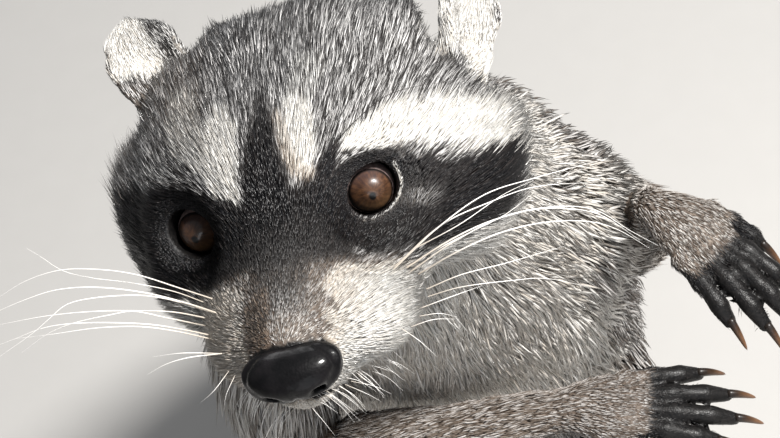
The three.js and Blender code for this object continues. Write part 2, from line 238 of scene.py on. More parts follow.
class Limb:
    """A form along a spine, of elliptical section, that closes at both ends as half a ball does."""

    def __init__(self, stations, inset=0.0, ends=0.5, side=(1, 0, 0), count=24, place=None):
        self.place = place
        centres = spine([s[0] for s in stations], count)
        t = np.linspace(0, 1, count + 1)
        marks = np.linspace(0, 1, len(stations))
        girth = np.stack([np.interp(t, marks, [s[1][k] for s in stations]) for k in (0, 1)], 1)
        girth = girth * (np.sin(np.pi * t) ** ends)[:, None] - inset
        keep = girth.min(1) > min(LEAST_GIRTH, girth.max() * 0.5)
        self.centres, self.girth, self.t = centres[keep], girth[keep], t[keep]
        self.tangent = unit(np.diff(self.centres, axis=0))
        side = np.array(side, float)
        self.across = unit(side - self.tangent * (self.tangent @ side)[:, None])
        self.deep = np.cross(self.across, self.tangent)
        edge = self.girth.max() + LIMB_REACH
        self.reach = np.array([self.centres.min(0) - edge, self.centres.max(0) + edge])
        if place is not None:
            moved = place.part(grid(*self.reach.T))
            self.reach = np.array([moved.min(0), moved.max(0)])

    def measure(self, p):
        """Distance, place along the spine from 0 to 1, and the index of the nearest length."""
        q = p if self.place is None else self.place.local(p)
        best = np.full(len(q), 1e9)
        along = np.zeros(len(q))
        nearest = np.zeros(len(q), int)
        for i, tangent in enumerate(self.tangent):
            a, b = self.centres[i], self.centres[i + 1]
            span = np.linalg.norm(b - a)
            off = q - a
            t = off @ tangent
            across, deep = off @ self.across[i], off @ self.deep[i]
            ends = self.girth[i].min(), self.girth[i + 1].min()
            lean = np.clip((ends[1] - ends[0]) / span, -0.9, 0.9)
            w = np.clip(t / span, 0, 1)
            for _ in range(2):
                size = self.girth[i] + w[:, None] * (self.girth[i + 1] - self.girth[i])
                least = size.min(1)
                x, y = across * (least / size[:, 0]), deep * (least / size[:, 1])
                w = np.clip((t + np.sqrt(x * x + y * y) * lean / math.sqrt(1 - lean * lean)) / span, 0, 1)
            least = ends[0] + w * (ends[1] - ends[0])
            d = np.sqrt(x * x + y * y + (t - w * span) ** 2) - least
            closer = d < best
            best[closer] = d[closer]
            along[closer] = (self.t[i] + w * (self.t[i + 1] - self.t[i]))[closer]
            nearest[closer] = i
        return best, along, nearest

    def field(self, p):
        return self.measure(p)[0]

    def flow(self, p):
        way = self.tangent[self.measure(p)[2]]
        return way if self.place is None else self.place.turned(way)


def ball(at, radius):
    return lambda p: np.linalg.norm(p - np.array(at, float), axis=1) - radius


def lump(at, size):
    at, size = np.array(at, float), np.array(size, float)
    return lambda p: (np.linalg.norm((p - at) / size, axis=1) - 1) * size.min()


def taper(a, b, r0, r1):
    a, b = np.array(a, float), np.array(b, float)
    axis = b - a

    def field(p):
        t = np.clip((p - a) @ axis / (axis @ axis), 0, 1)
        return np.linalg.norm(p - a - t[:, None] * axis, axis=1) - (r0 + (r1 - r0) * t)

    return field


def rope(points, radii):
    """A thin chain of tapers, for grooves and slits."""
    links = [taper(points[i], points[i + 1], radii[i], radii[i + 1]) for i in range(len(points) - 1)]
    return lambda p: np.min([link(p) for link in links], axis=0)


# ---------- the head, in its own frame: x to its left, y back, z up, from midway between the eyes ----------
def gaze(sign):
    out, up = math.radians(EYE["out"]), math.radians(EYE["up"])
    return arr(sign * math.sin(out) * math.cos(up), -math.cos(out) * math.cos(up), math.sin(up))


def ahead_of_eye(sign, reach):
    return arr(sign * EYE["apart"] / 2, 0, 0) + gaze(sign) * reach


def eye_axes(sign):
    """Columns: outwards across the eye, up it, and along the gaze."""
    look = gaze(sign)
    up = unit(arr(0, 0, 1) - look * look[2])
    outward = np.cross(up, look) * sign
    outward *= np.sign(outward[0] * sign)
    return np.stack([outward, up, look], 1)


HEAD_FIELDS = [lump(*form) for form in HEAD_LUMPS] + [taper(*form) for form in HEAD_TAPERS]
# the mouth's left half, measured from the plane through its middle
LIP_MIDDLE = 1.2
LIP_LINE = [
    (1.2, -54, -27.4),
    (6, -50, -29.6),
    (11, -41, -32),
    (15, -30, -34),
    (17.5, -19, -35.5),
    (18, -11, -36),
]


def folded(q, middle):
    """The points with both sides of the head laid on its left side."""
    return np.stack([np.abs(q[:, 0] - middle), q[:, 1], q[:, 2]], 1)


def eye_distance(q):
    """How far the points are from the nearest eye."""
    return np.min([np.linalg.norm(q - ahead_of_eye(sign, -1), axis=1) for sign in (1, -1)], axis=0)


def coat_depth(q):
    """How far the tips of the coat stand over the skin of the head."""
    depth = profile(q[:, 1], (-56, 0.8), (-40, 1.3), (-15, 1.9), (5, 2.3), (30, 2.8), (60, 5.2))
    cheek = smooth(24, 52, np.abs(q[:, 0])) * smooth(6, 34, q[:, 1])
    depth = depth + 5.5 * cheek * smooth(14, -14, q[:, 2])
    return depth * (0.3 + 0.7 * smooth(8, 22, eye_distance(q)))


def ear_place(side):
    root, tip = (np.array(EARS[side][k], float) for k in ("root", "tip"))
    axes = facing(-np.array(EARS[side]["opens"], float), tip - root)
    return Place(root, axes), np.linalg.norm(tip - root)


EAR_PLACES = {side: ear_place(side) for side in EARS}


def ear_field(side):
    place, length = EAR_PLACES[side]
    lean, top = EARS[side]["lean"], length - EARS[side]["round"]
    outline = rope([(0, 0, -12), (1.5 * lean, 0, length * 0.45), (3.5 * lean, 0, top)], EARS[side]["radii"])
    bowl = ball((0, -9, 10), 9)

    def field(q):
        e = place.local(q)
        flat = e * arr(1, 0, 1)
        height = np.clip((e[:, 2] + 6) / length, 0, 1)
        half = 3.6 - 1.5 * smooth(0, 0.7, height)
        sheet = np.abs(e[:, 1] + EAR_CUP * e[:, 0] ** 2 - 2 * (1 - height)) - half
        return soft_max(soft_max(outline(flat), sheet, 1.2), -bowl(e), 3)

    return field


EAR_FIELDS = {side: ear_field(side) for side in EARS}


def eye_local(q, sign):
    return (q - ahead_of_eye(sign, -EYE["radius"])) @ eye_axes(sign)


def lid_opening(e):
    """Positive inside the opening between the lids, about in millimetres; `e` is in an eye's own axes."""
    u, v = e[:, 0] + 0.1, e[:, 1] - 0.15 * e[:, 0]
    across = np.abs(u) / np.where(u > 0, 7.3, 7.9)
    up = np.abs(v) / np.where(v > 0, 7.0, 6.8)
    return (1 - (across**2.1 + up**2.1) ** (1 / 2.1)) * 7


def head_field(q):
    """The head's skin, with sockets, lids and mouth, in the head's frame."""
    bent = q.copy()
    bent[:, 0] += np.minimum(q[:, 1], 0) * MUZZLE_BEND
    d = HEAD_FIELDS[0](bent)
    for field in HEAD_FIELDS[1:]:
        d = soft_min(d, field(bent), HEAD["blend"])
    d = d + coat_depth(q)
    for side in EARS:
        d = soft_min(d, EAR_FIELDS[side](q), 5)
    for sign in (1, -1):
        dish = DISH["radius"] - np.linalg.norm(q - ahead_of_eye(sign, DISH["ahead"] + 0.6), axis=1)
        d = soft_max(d, dish, 5)
        e = eye_local(q, sign)
        off = np.linalg.norm(e, axis=1)
        d = soft_min(d, off - EYE["radius"] - EYE["lid"], 3.5)
        d = np.maximum(d, EYE["radius"] + EYE["gap"] - off)
        ahead = np.where(e[:, 2] > 0, lid_opening(e), -FAR)
        d = soft_max(d, np.minimum(ahead, 6 + EYE["radius"] - off), 0.7)
    mouth = rope(LIP_LINE, [0.7, 0.9, 0.9, 0.9, 0.8, 0.3])
    return soft_max(d, -mouth(folded(q, LIP_MIDDLE)), 1.2)


# ---------- paws, in frames of their own: digits along +Y, the back of the paw up ----------
def digit_points(sizes, curl, inner):
    """Each digit's spine as four points, and the way it spreads."""
    made = []
    for i, (part, back) in enumerate(DIGITS):
        place = inner * (2 - i) / 2
        spread = math.radians(place * sizes["fan"])
        way = arr(math.sin(spread), math.cos(spread), 0)
        points = [arr(place * sizes["across"], sizes["knuckles"] - sizes["set_back"] * back, sizes["height"])]
        for share in DIGIT_BENDS:
            bend = math.radians(curl * share)
            step = way * math.cos(bend) - arr(0, 0, math.sin(bend))
            points.append(points[-1] + step * sizes["length"] * part / 3)
        made.append((np.array(points), way))
    return made


def hand_place(side):
    forward = unit(np.array(HANDS[side]["along"], float))
    back = np.array(HANDS[side]["back"], float)
    up = unit(back - forward * (back @ forward))
    return Place(ARMS[side]["wrist"], np.stack([np.cross(forward, up), forward, up], 1))


def foot_place(side):
    sign = SIDES[side]
    x, y, z = FOOT["heel"]
    return Place((x * sign, y, z), Matrix.Rotation(math.radians(180 + FOOT["turn"] * sign), 3, "Z"))


class Paw:
    """A palm or sole with its five digits."""

    def __init__(self, place, palm, sizes, curl, inner, inset):
        self.place = place
        self.palm = Limb(palm, inset=inset, count=10, place=place)
        self.digits = digit_points(sizes, curl, inner)
        self.fingers = []
        for points, _ in self.digits:
            root, knuckle, joint, tip = points
            knots = [root, (root + knuckle) / 2, knuckle, (knuckle + joint) / 2, joint]
            knots.append(tip * 0.7 + joint * 0.3)
            self.fingers.append(rope(knots, [sizes["thick"] * k - 0.3 for k in DIGIT_GIRTHS]))
        self.reach = self.palm.reach.copy()
        tips = place.part(np.array([points[3] for points, _ in self.digits]))
        self.reach[0] = np.minimum(self.reach[0], tips.min(0) - 12)
        self.reach[1] = np.maximum(self.reach[1], tips.max(0) + 12)

    def field(self, p):
        d = self.palm.field(p)
        q = self.place.local(p)
        for finger in self.fingers:
            d = soft_min(d, finger(q), 1.3)
        return d

    def flow(self, p):
        q = self.place.local(p)
        nearest = np.argmin([finger(q) for finger in self.fingers], axis=0)
        ways = np.array([unit(points[3] - points[0]) for points, _ in self.digits])
        return self.place.turned(unit(ways[nearest] * 0.8 + arr(0, 0.6, 0)))


class Head:
    """The head with its ears, as a form like the limbs and the paws."""

    reach = np.array([HEAD_PLACE.origin - HEAD_REACH, HEAD_PLACE.origin + HEAD_REACH])

    def field(self, p):
        return head_field(HEAD_PLACE.local(p))

    def flow(self, p):
        q = HEAD_PLACE.local(p)
        way = unit(q - arr(1, -52, -14)) + arr(0, 0, -0.35) * smooth(20, 60, q[:, 1])[:, None]
        for side, (place, _) in EAR_PLACES.items():
            on_ear = smooth(2.0, 0.2, EAR_FIELDS[side](q)) * smooth(4, 14, place.local(q)[:, 2])
            way = way * (1 - on_ear)[:, None] + place.axes[:, 2] * on_ear[:, None]
        return HEAD_PLACE.turned(unit(way))


def bone(a, b, parts):
    """Stations of a straight limb, from shares of its length and the girths there."""
    a, b = np.array(a, float), np.array(b, float)
    return [(a + (b - a) * along, girth) for along, girth in parts]


# each part's form, and how softly it joins the ones before it
PARTS = {"trunk": (Limb(TRUNK, inset=13, ends=0.36), 1)}
# the skin of the tail's root is thicker under a shorter coat
tail_root = [(at, (girth[0] + more, girth[1] + more)) for (at, girth), more in zip(TAIL, (11, 7, 1))]
PARTS["tail"] = (Limb(tail_root + TAIL[3:], inset=15, ends=0.4, side=(0, 0, 1)), 18)
for side, sign in SIDES.items():
    joints = ARMS[side]
    hip, knee, hock = ((sign * x, y, z) for x, y, z in HIND.values())
    PARTS[side + "_upper_arm"] = (Limb(bone(joints["shoulder"], joints["elbow"], UPPER_ARM), 10, 0.6), 16)
    forearm = bone(joints["elbow"], joints["wrist"], FOREARM)
    reach = unit(np.array(HANDS[side]["along"], float)) * 12
    PARTS[side + "_forearm"] = (Limb(forearm + [(forearm[-1][0] + reach, (11.5, 9.5))], 3.2, 0.16), 9)
    PARTS[side + "_thigh"] = (Limb(bone(hip, knee, THIGH), 12, 0.6), 16)
    PARTS[side + "_shank"] = (Limb(bone(knee, hock, SHANK), 8), 12)
    hand = Paw(hand_place(side), PALM, FINGERS, HANDS[side]["curl"], -sign, 0.8)
    foot = Paw(foot_place(side), SOLE, TOES, 0, -sign, 1.0)
    PARTS[side + "_hand"] = (hand, 5)
    PARTS[side + "_foot"] = (foot, 6)
PARTS["head"] = (Head(), 14)
NAMES = list(PARTS)


def skin_field(p):
    d = np.full(len(p), FAR)
    for form, blend in PARTS.values():
        near = np.all((p > form.reach[0]) & (p < form.reach[1]), axis=1)
        if near.any():
            d[near] = soft_min(d[near], form.field(p[near]), blend)
    return np.maximum(d, FLOOR_GAP - p[:, 2])


# ---------- a mesh from a field ----------
def planes(marks, end):
    """Grid planes along an axis, from marks of (start, spacing)."""
    stops = [mark[0] for mark in marks[1:]] + [end]
    runs = [np.linspace(a, b, max(round((b - a) / step), 1) + 1) for (a, step), b in zip(marks, stops)]
    return np.unique(np.concatenate(runs))


def sample(field, axes, block=8):
    """The field at the grid's points, worked out only in blocks that may hold some of the surface."""
    shape = [len(a) for a in axes]
    values = np.full(shape, FAR)
    parts = [[(i, min(i + block, n)) for i in range(0, n, block)] for n in shape]
    corners = []
    for a, part, n in zip(axes, parts, shape):
        corners.append(np.array([(a[i], a[min(j, n - 1)]) for i, j in part]))
    half = grid(*[np.abs(c[:, 1] - c[:, 0]) / 2 for c in corners])
    at_mid = field(grid(*[c.mean(1) for c in corners]))
    near = np.abs(at_mid) < np.linalg.norm(half, axis=1) * 1.25 + 3
    points, cuts = [], []
    for index, value, close in zip(grid(*[range(len(part)) for part in parts]), at_mid, near):
        cut = tuple(slice(*part[i]) for part, i in zip(parts, index))
        if close:
            cuts.append(cut)
            points.append(grid(*[a[s] for a, s in zip(axes, cut)]))
        else:
            values[cut] = value
    found = field(np.concatenate(points))
    start = 0
    for cut, block_points in zip(cuts, points):
        count = len(block_points)
        values[cut] = found[start:start + count].reshape(values[cut].shape)
        start += count
    return values


def surface(values, axes):
    """Surface nets: one vertex in each cell that the surface crosses, and a quad across each edge it cuts."""
    inside = values < 0
    corner = [(i, j, k) for i in (0, 1) for j in (0, 1) for k in (0, 1)]
    nx, ny, nz = (n - 1 for n in values.shape)
    count = sum(inside[i:nx + i, j:ny + j, k:nz + k].astype(np.int8) for i, j, k in corner)
    cells = np.argwhere((count > 0) & (count < 8))
    total = np.zeros((len(cells), 3))
    hits = np.zeros(len(cells))
    for a in corner:
        for axis in range(3):
            if a[axis]:
                continue
            b = list(a)
            b[axis] = 1
            ca, cb = cells + a, cells + b
            va, vb = values[tuple(ca.T)], values[tuple(cb.T)]
            cut = (va < 0) != (vb < 0)
            w = np.where(cut, va / np.where(cut, va - vb, 1), 0)[:, None]
            pa, pb = (np.stack([axes[n][c[:, n]] for n in range(3)], 1) for c in (ca, cb))
            total += np.where(cut[:, None], pa + (pb - pa) * w, 0)
            hits += cut
    vertices = total / hits[:, None]
    number = np.full((nx, ny, nz), -1)
    number[tuple(cells.T)] = np.arange(len(cells))
    quads = []
    for axis in range(3):
        one = tuple(slice(1, None) if n == axis else slice(None) for n in range(3))
        other = tuple(slice(None, -1) if n == axis else slice(None) for n in range(3))
        cut = np.argwhere(inside[other] != inside[one])
        u, v = (axis + 1) % 3, (axis + 2) % 3
        for n in (u, v):
            cut = cut[(cut[:, n] > 0) & (cut[:, n] < values.shape[n] - 1)]
        steps = np.eye(3, dtype=int)
        ring = [cut - steps[u] - steps[v], cut - steps[v], cut, cut - steps[u]]
        quad = np.stack([number[tuple(c.T)] for c in ring], 1)
        out = inside[tuple(cut.T)]
        quads.append(np.where(out[:, None], quad, quad[:, ::-1]))
    return vertices, np.concatenate(quads)


def slope(field, p, step=0.15):
    """The field's value and gradient."""
    taps = arr((1, -1, -1), (-1, -1, 1), (-1, 1, -1), (1, 1, 1))
    values = [field(p + tap * step) for tap in taps]
    return sum(values) / 4, sum(v[:, None] * tap for v, tap in zip(values, taps)) / (4 * step)


def settle(field, p, rounds=3, most=1.0):
    """The points moved along the field's slope on to its surface, no further than `most` a round."""
    for _ in range(rounds):
        value, way = slope(field, p)
        size = np.maximum((way**2).sum(1), 0.2)
        move = way * (value / size)[:, None]
        length = np.linalg.norm(move, axis=1, keepdims=True)
        p = p - move * np.minimum(1, most / np.maximum(length, 1e-9))
    return p


def placed(name, data):
    """A new object in the scene, with this mesh, camera or light."""
    made = bpy.data.objects.new(name, data)
    bpy.context.scene.collection.objects.link(made)
    return made


def mesh_object(name, vertices, faces):
    """A mesh object from arrays in millimetres; the faces all have the same number of corners."""
    mesh = bpy.data.meshes.new(name)
    corners = faces.shape[1]
    mesh.vertices.add(len(vertices))
    mesh.vertices.foreach_set("co", (vertices * MM).astype(np.float32).ravel())
    mesh.loops.add(faces.size)
    mesh.loops.foreach_set("vertex_index", faces.astype(np.int32).ravel())
    mesh.polygons.add(len(faces))
    mesh.polygons.foreach_set("loop_start", np.arange(0, faces.size, corners, dtype=np.int32))
    mesh.polygons.foreach_set("use_smooth", np.full(len(faces), True))
    mesh.update(calc_edges=True)
    return placed(name, mesh)


def write_attributes(mesh, **named):
    for name, values in named.items():
        attribute = mesh.attributes.new(name, "FLOAT", "POINT")
        attribute.data.foreach_set("value", np.asarray(values, np.float32))


def as_triangles(bm):
    """A bmesh's triangles as arrays, in millimetres."""
    bmesh.ops.triangulate(bm, faces=bm.faces)
    bm.verts.index_update()
    points = np.array([v.co[:] for v in bm.verts]) / MM
    faces = np.array([[v.index for v in f.verts] for f in bm.faces])
    return points, faces


def refined(points, faces, fine_at):
    """Splits the edges near the places in `fine_at`, given as (point, reach)."""
    rough = mesh_object("refined", points, faces)
    mesh = rough.data
    bm = bmesh.new()
    bm.from_mesh(mesh)
    near = np.any([np.linalg.norm(points - at, axis=1) < reach for at, reach in fine_at], axis=0)
    bm.verts.ensure_lookup_table()
    edges = [e for e in bm.edges if near[e.verts[0].index] and near[e.verts[1].index]]
    bmesh.ops.subdivide_edges(bm, edges=edges, cuts=1, use_grid_fill=True)
    points, faces = as_triangles(bm)
    bm.free()
    bpy.data.objects.remove(rough)
    bpy.data.meshes.remove(mesh)
    return points, faces


def build_skin():
    """The skin's points and triangles; the grid is fine only where the head and the paws are."""
    axes = (
        planes([(-224, 4.4), (-42, 1.55)], 160),
        planes([(-232, 1.55), (-48, 4.4)], 193),
        planes([(-1.2, 1.6), (22, 4.4), (200, 1.7), (262, 4.4), (338, 1.55)], 421),
    )
    points, quads = surface(sample(skin_field, axes), axes)
    eyes = [(HEAD_PLACE.part(ahead_of_eye(sign, 0)), 13) for sign in (1, -1)]
    lips = [(HEAD_PLACE.part(arr(x, -50, -29)), 9) for x in (-6, 2, 10)]
    points, faces = refined(points, quads, eyes + lips)
    points = settle(skin_field, points)
    return points, faces


# ---------- markings: where the coat is pale, where it is black, and where it is warm ----------
def patch(soft, *stations):
    """1 inside a chain of round stations, each a point and a radius, and 0 outside, softly."""
    line = rope([s[:3] for s in stations], [s[3] for s in stations])
    return lambda q: smooth(soft, -soft, line(q))


LEFT_PATCH = patch(
    1.6, (12.6, 3.5, 28, 3.8), (12.3, -2.8, 21.7, 4.2), (12, -5.3, 18.4, 4.0), (11.2, -8, 15.2, 2.6),
)
RIGHT_PATCH = patch(
    2.0, (-9.2, 5.0, 30.0, 3.4), (-10.2, -0.2, 25.2, 5.4), (-11.2, -3.7, 20.8, 6.0), (-11.4, -6.8, 16.2, 4.8),
    (-8.4, -10.2, 12.8, 2.0),
)
LEFT_FAN = patch(2.0, (14, 6, 30, 5), (17, 15, 35, 6))
RIGHT_FAN = patch(2.0, (-15, -2, 20, 5), (-21, 5, 26, 7), (-22, 14, 34, 7))
LEFT_BROW = patch(
    2.0, (25.5, -0.3, 15.5, 3.2), (34.3, 5.7, 14.6, 5.4), (40.3, 10, 12.2, 7.4), (47, 13.5, 8, 9),
    (53.5, 17, 2, 10), (60, 22, -2.5, 10), (64, 31, -7, 9),
)
RIGHT_BROW = patch(
    2.6, (-22, -3, 18.5, 2), (-32, 5.5, 18.5, 4), (-41, 11, 15, 5.2), (-50, 20, 10, 7.4), (-58, 29, 4, 10),
)
LEFT_MASK = patch(
    2.6, (15.5, -13, 7, 5), (27, -10, -1, 13.5), (38, -3, -6.5, 14), (47.5, 4, -9.5, 12), (56.5, 12, -12, 10),
    (64, 19, -12.5, 7), (66, 24, -14, 4),
)
RIGHT_MASK = patch(
    1.8, (-14, -17, 6, 7), (-26, -8, 1.5, 13.5), (-38, 2, 0.5, 14), (-48, 13, -2, 13), (-57, 25, -5, 11),
)
STRIPE = patch(
    4.2, (3.3, 24, 39.5, 0.6), (3.2, 9, 32.8, 2.4), (2.6, 1, 27.2, 3.6), (1.3, -4.7, 21, 5.0),
    (0.4, -8.7, 15.6, 6.5), (-0.5, -16, 8, 8.5),
)
TUFT = patch(1.8, (19.8, -4, 15.8, 1.8), (17, -8, 11, 3.6))
BEIGE = patch(1.2, (7.2, 1, 26.5, 1.2), (7.6, -5.6, 19, 1.4), (9.5, -9, 14.2, 1.8), (13, -8.8, 12.6, 1.6))
# height of the border between the white muzzle and the dark above it, along the face
MUZZLE_TOP = (
    (-55, -15), (-48, -11.5), (-41, -8), (-34, -4.5), (-29, -4), (-24, -8), (-15, -14.2), (-4, -18), (5, -20),
    (30, -20),
)
MUZZLE_LEAN = 0.063  # how far that border drops to the left, for each millimetre
EAR_PALE = {"left": 0.64, "right": 0.44}  # the share of pale hair inside each ear


def head_marks(q):
    """Pale, black and warm shares at points of the coat, in the head's frame."""
    x, y, z = q.T
    level = z + MUZZLE_LEAN * x
    ragged = 1.1 * hills(q, 7, 91) + 0.8 * hills(q, 3.2, 92)

    def shaken(share):
        return q + share * ragged[:, None]

    edge = profile(y, *MUZZLE_TOP)
    low = smooth(2.2, -2.2, (level - edge + ragged) / (1 + 0.9 * smooth(-18, -30, y)))
    patches = np.maximum(LEFT_PATCH(shaken(0.5)), RIGHT_PATCH(shaken(0.5)))
    masks = np.maximum(LEFT_MASK(shaken(0.8)), RIGHT_MASK(shaken(0.8)))
    behind = smooth(28, 38, y) * smooth(30, 48, np.abs(x)) * smooth(18, 6, z)
    side = smooth(6.5, 12, np.abs(x - 0.5 + 0.02 * y))
    # the dark bridge between the eyes, speckled down to the nose
    bridge = smooth(14.5, 10.5, level) * (1 - low) * smooth(9, -1, y)
    bridge = np.maximum(bridge, smooth(-14, -20, y) * (1 - side))

    pale = np.maximum(low * np.maximum(side, smooth(-23, -28, z)), behind)
    # the right brow has less pale hair than the left: partly its own sparser white, partly painted shade on
    # the side away from the light
    for share in (
        0.96 * LEFT_BROW(shaken(0.6)), 0.40 * RIGHT_BROW(q), 0.5 * LEFT_FAN(q), 0.6 * RIGHT_FAN(q),
        0.3 * smooth(20, 27, z) * smooth(-4, 12, x) * smooth(5, 25, y),
    ):
        pale = np.maximum(pale, share)
    pale = np.maximum(pale * (1 - masks * (1 - low * smooth(2, -6, y))), patches)

    stripe = profile(y, (-10, 0.8), (4, 0.62), (22, 0.3)) * STRIPE(q)
    black = np.maximum(masks * (1 - low * smooth(4, -6, y)), stripe)
    speckle = profile(y, (-54, 0.2), (-46, 0.34), (-36, 0.47), (-26, 0.53), (-14, 0.58), (0, 0.72))
    black = np.maximum(black * (1 - 0.5 * smooth(-14, -26, y)), bridge * speckle)
    # thinner black under the left eye and behind it
    under = smooth(10, 16, np.linalg.norm((q - arr(33, -12, -9)) * arr(0.8, 0.8, 1.3), axis=1))
    behind_eye = smooth(13, 6, np.linalg.norm((q - arr(43, 5, -1)) * arr(0.8, 0.8, 1.1), axis=1))
    black = black * (0.6 + 0.4 * under) * (1 - 0.42 * behind_eye)
    tuft = TUFT(q)
    pale, black = pale * (1 - tuft), np.maximum(black, 0.75 * tuft)
    black = np.maximum(black, smooth(-40, -50, x) * smooth(6, 20, y) * smooth(26, 8, z) * 0.55 * (1 - behind))
    black = black * (1 - patches)

    on_bridge = profile(y, (-54, 0.36), (-40, 0.38), (-10, 0.34))
    pale = np.maximum(pale, bridge * smooth(-10, -30, y) * on_bridge)
    muzzle = smooth(-12, -24, y)
    brown = smooth(-34, -40, y) * smooth(0.5, -2.5, x) * smooth(-11.5, -8, x) * smooth(-17, -12, z)
    beige = BEIGE(q)
    warm = muzzle * smooth(6, 1.0, np.abs(level - edge + 0.5)) * 0.5
    for share in (
        0.35 * bridge * smooth(-40, -50, y), muzzle * smooth(2, -10, x) * low * 0.6, 0.9 * brown, 0.8 * beige,
        0.5 * smooth(-36, -50, x) * smooth(10, 40, y), 0.3 * smooth(-8, -20, x) * smooth(18, 34, z),
    ):
        warm = np.maximum(warm, share)
    pale, black = pale * (1 - 0.7 * brown), np.maximum(black, 0.45 * brown)
    return ear_marks(q, np.maximum(pale, 0.62 * beige), black, warm)


def ear_marks(q, pale, black, warm):
    """The same with the ears: a white rim, a greyer inside, and a darker back near the root."""
    for side, (place, length) in EAR_PLACES.items():
        e = place.local(q)
        on_ear = smooth(3, 9, e[:, 2]) * smooth(8, 5, np.abs(e[:, 1] + 3)) * smooth(18, 15, np.abs(e[:, 0]))
        if side == "right":
            rim = smooth(5, -2, e[:, 0]) * smooth(0.2, 0.4, e[:, 2] / length)
        else:
            rim = np.maximum(smooth(length * 0.55, length * 0.8, e[:, 2]), smooth(8, 11.5, np.abs(e[:, 0])))
        back = smooth(1, 3, e[:, 1] + EAR_CUP * e[:, 0] ** 2)
        pale = pale * (1 - on_ear) + np.maximum(rim, EAR_PALE[side]) * on_ear
        black = black * (1 - on_ear) + 0.4 * back * smooth(0.6, 0.25, e[:, 2] / length) * on_ear
        warm = warm * (1 - on_ear)
    return pale, black, warm


def lid_marks(q, pale, black, warm):
    """The same with the lids' black rim, and the thin fringe of white hair outside and below it."""
    for sign, fringe in ((1, 0.68), (-1, 0.15)):
        e = eye_local(q, sign)
        gap = -lid_opening(e)
        front = e[:, 2] > 0
        outer = np.maximum(smooth(0, 4, e[:, 0]), 0.7 * smooth(1, -4, e[:, 1])) * smooth(6.4, 4.4, e[:, 1])
        ring = smooth(0.25, 0.5, gap) * smooth(1.2, 0.75, gap) * outer * front * fringe
        rim = smooth(0.5, 0.25, gap) * front
        pale, black = np.maximum(pale, ring) * (1 - rim), np.maximum(black * (1 - ring), rim)
    return pale, black, warm


TAIL_RINGS = 5.6
# limbs' shares of pale hair and of warm tone; the left forearm is the paler one
LIMB_TONES = {"upper_arm": (0.55, 0.3), "forearm": (0.08, 0.62), "thigh": (0.3, 0.25), "shank": (0.4, 0.25)}
LEFT_FOREARM_PALE = 0.26
# where along a paw its coat ends and its digits begin, and the heights between which its underside begins
PAW_BORDERS = {"hand": (25, 33, 1, -3), "foot": (58, 76, 6, 3)}


def body_marks(p, around, weight):
    """The same for the rest of the body: `around` is each part's (along, outward) and `weight` its share."""
    pale, black, warm = (np.zeros(len(p)) for _ in range(3))
    along, outward = around["trunk"]
    front = outward @ unit(arr(0.12, -1, -0.05))
    spots = hills(p, 46, 5) * 0.12
    neck = smooth(0.56, 0.78, along)
    chest = smooth(0.38, 0.5, along)
    lightness = 0.68 + 0.3 * np.maximum(neck, chest)
    underside = smooth(-0.1 - 0.5 * neck, 0.6 - 0.5 * neck, front + spots) * lightness
    ruff = smooth(0.48, 0.68, along + spots) * smooth(-0.95, -0.4, front + 1.5 * spots)
    pale += weight["trunk"] * np.maximum(underside, ruff)
    black += weight["trunk"] * smooth(0.1, -0.8, front + spots) * 0.35 * (1 - neck)
    warm += weight["trunk"] * (0.35 - 0.15 * neck + 0.1 * hills(p, 60, 8))
    along, _ = around["tail"]
    ring = 0.5 + 0.5 * np.cos(math.tau * (along * TAIL_RINGS - 0.1) + 0.5 * hills(p, 30, 6))
    dark = np.maximum(smooth(0.42, 0.62, ring), smooth(0.86, 0.92, along))
    pale += weight["tail"] * (1 - dark) * 0.5
    black += weight["tail"] * dark * 0.95
    warm += weight["tail"] * 0.45
    for side in SIDES:
        for name, (lightness, dun) in LIMB_TONES.items():
            part = f"{side}_{name}"
            if part == "left_forearm":
                lightness = LEFT_FOREARM_PALE
            _, outward = around[part]
            pale += weight[part] * (lightness + 0.25 * smooth(0.2, -0.8, outward[:, 2]) + 0.5 * spots)
            warm += weight[part] * dun
        for name, (start, end, edge, sole) in PAW_BORDERS.items():
            part = f"{side}_{name}"
            q = PARTS[part][0].place.local(p)
            fingers = smooth(start, end, q[:, 1])
            black += weight[part] * np.maximum(fingers * 0.9, smooth(edge, sole, q[:, 2]))
            pale += weight[part] * (1 - fingers) * (0.12 if part == "right_hand" else 0.42)
            warm += weight[part] * 0.5
    return np.clip(pale, 0, 1), np.clip(black, 0, 1), np.clip(warm, 0, 1)


# ---------- the lie of the coat ----------
# hair length, lock width, lift at the root and at the tip in degrees, and locks on a square millimetre
LIE = {
    "trunk": (25, 1.35, 28, 10, 0.2),
    "tail": (30, 2.0, 34, 18, 0.24),
    "upper_arm": (18, 1.1, 26, 10, 0.4),
    "forearm": (6.5, 0.55, 18, 6, 1.3),
    "hand": (3.0, 0.36, 14, 5, 2.6),
    "thigh": (24, 1.9, 28, 12, 0.17),
    "shank": (13, 1.4, 24, 10, 0.27),
    "foot": (4.6, 0.8, 18, 8, 0.85),
}


# how the coat of the chest and the neck differs from the trunk's
CHEST_COAT = {"shorter": 5, "width": 0.8, "share": 0.9, "closer": 0.34}
HEAD_DROP = 0.45  # the tips' lift on the head, as a share of the roots'


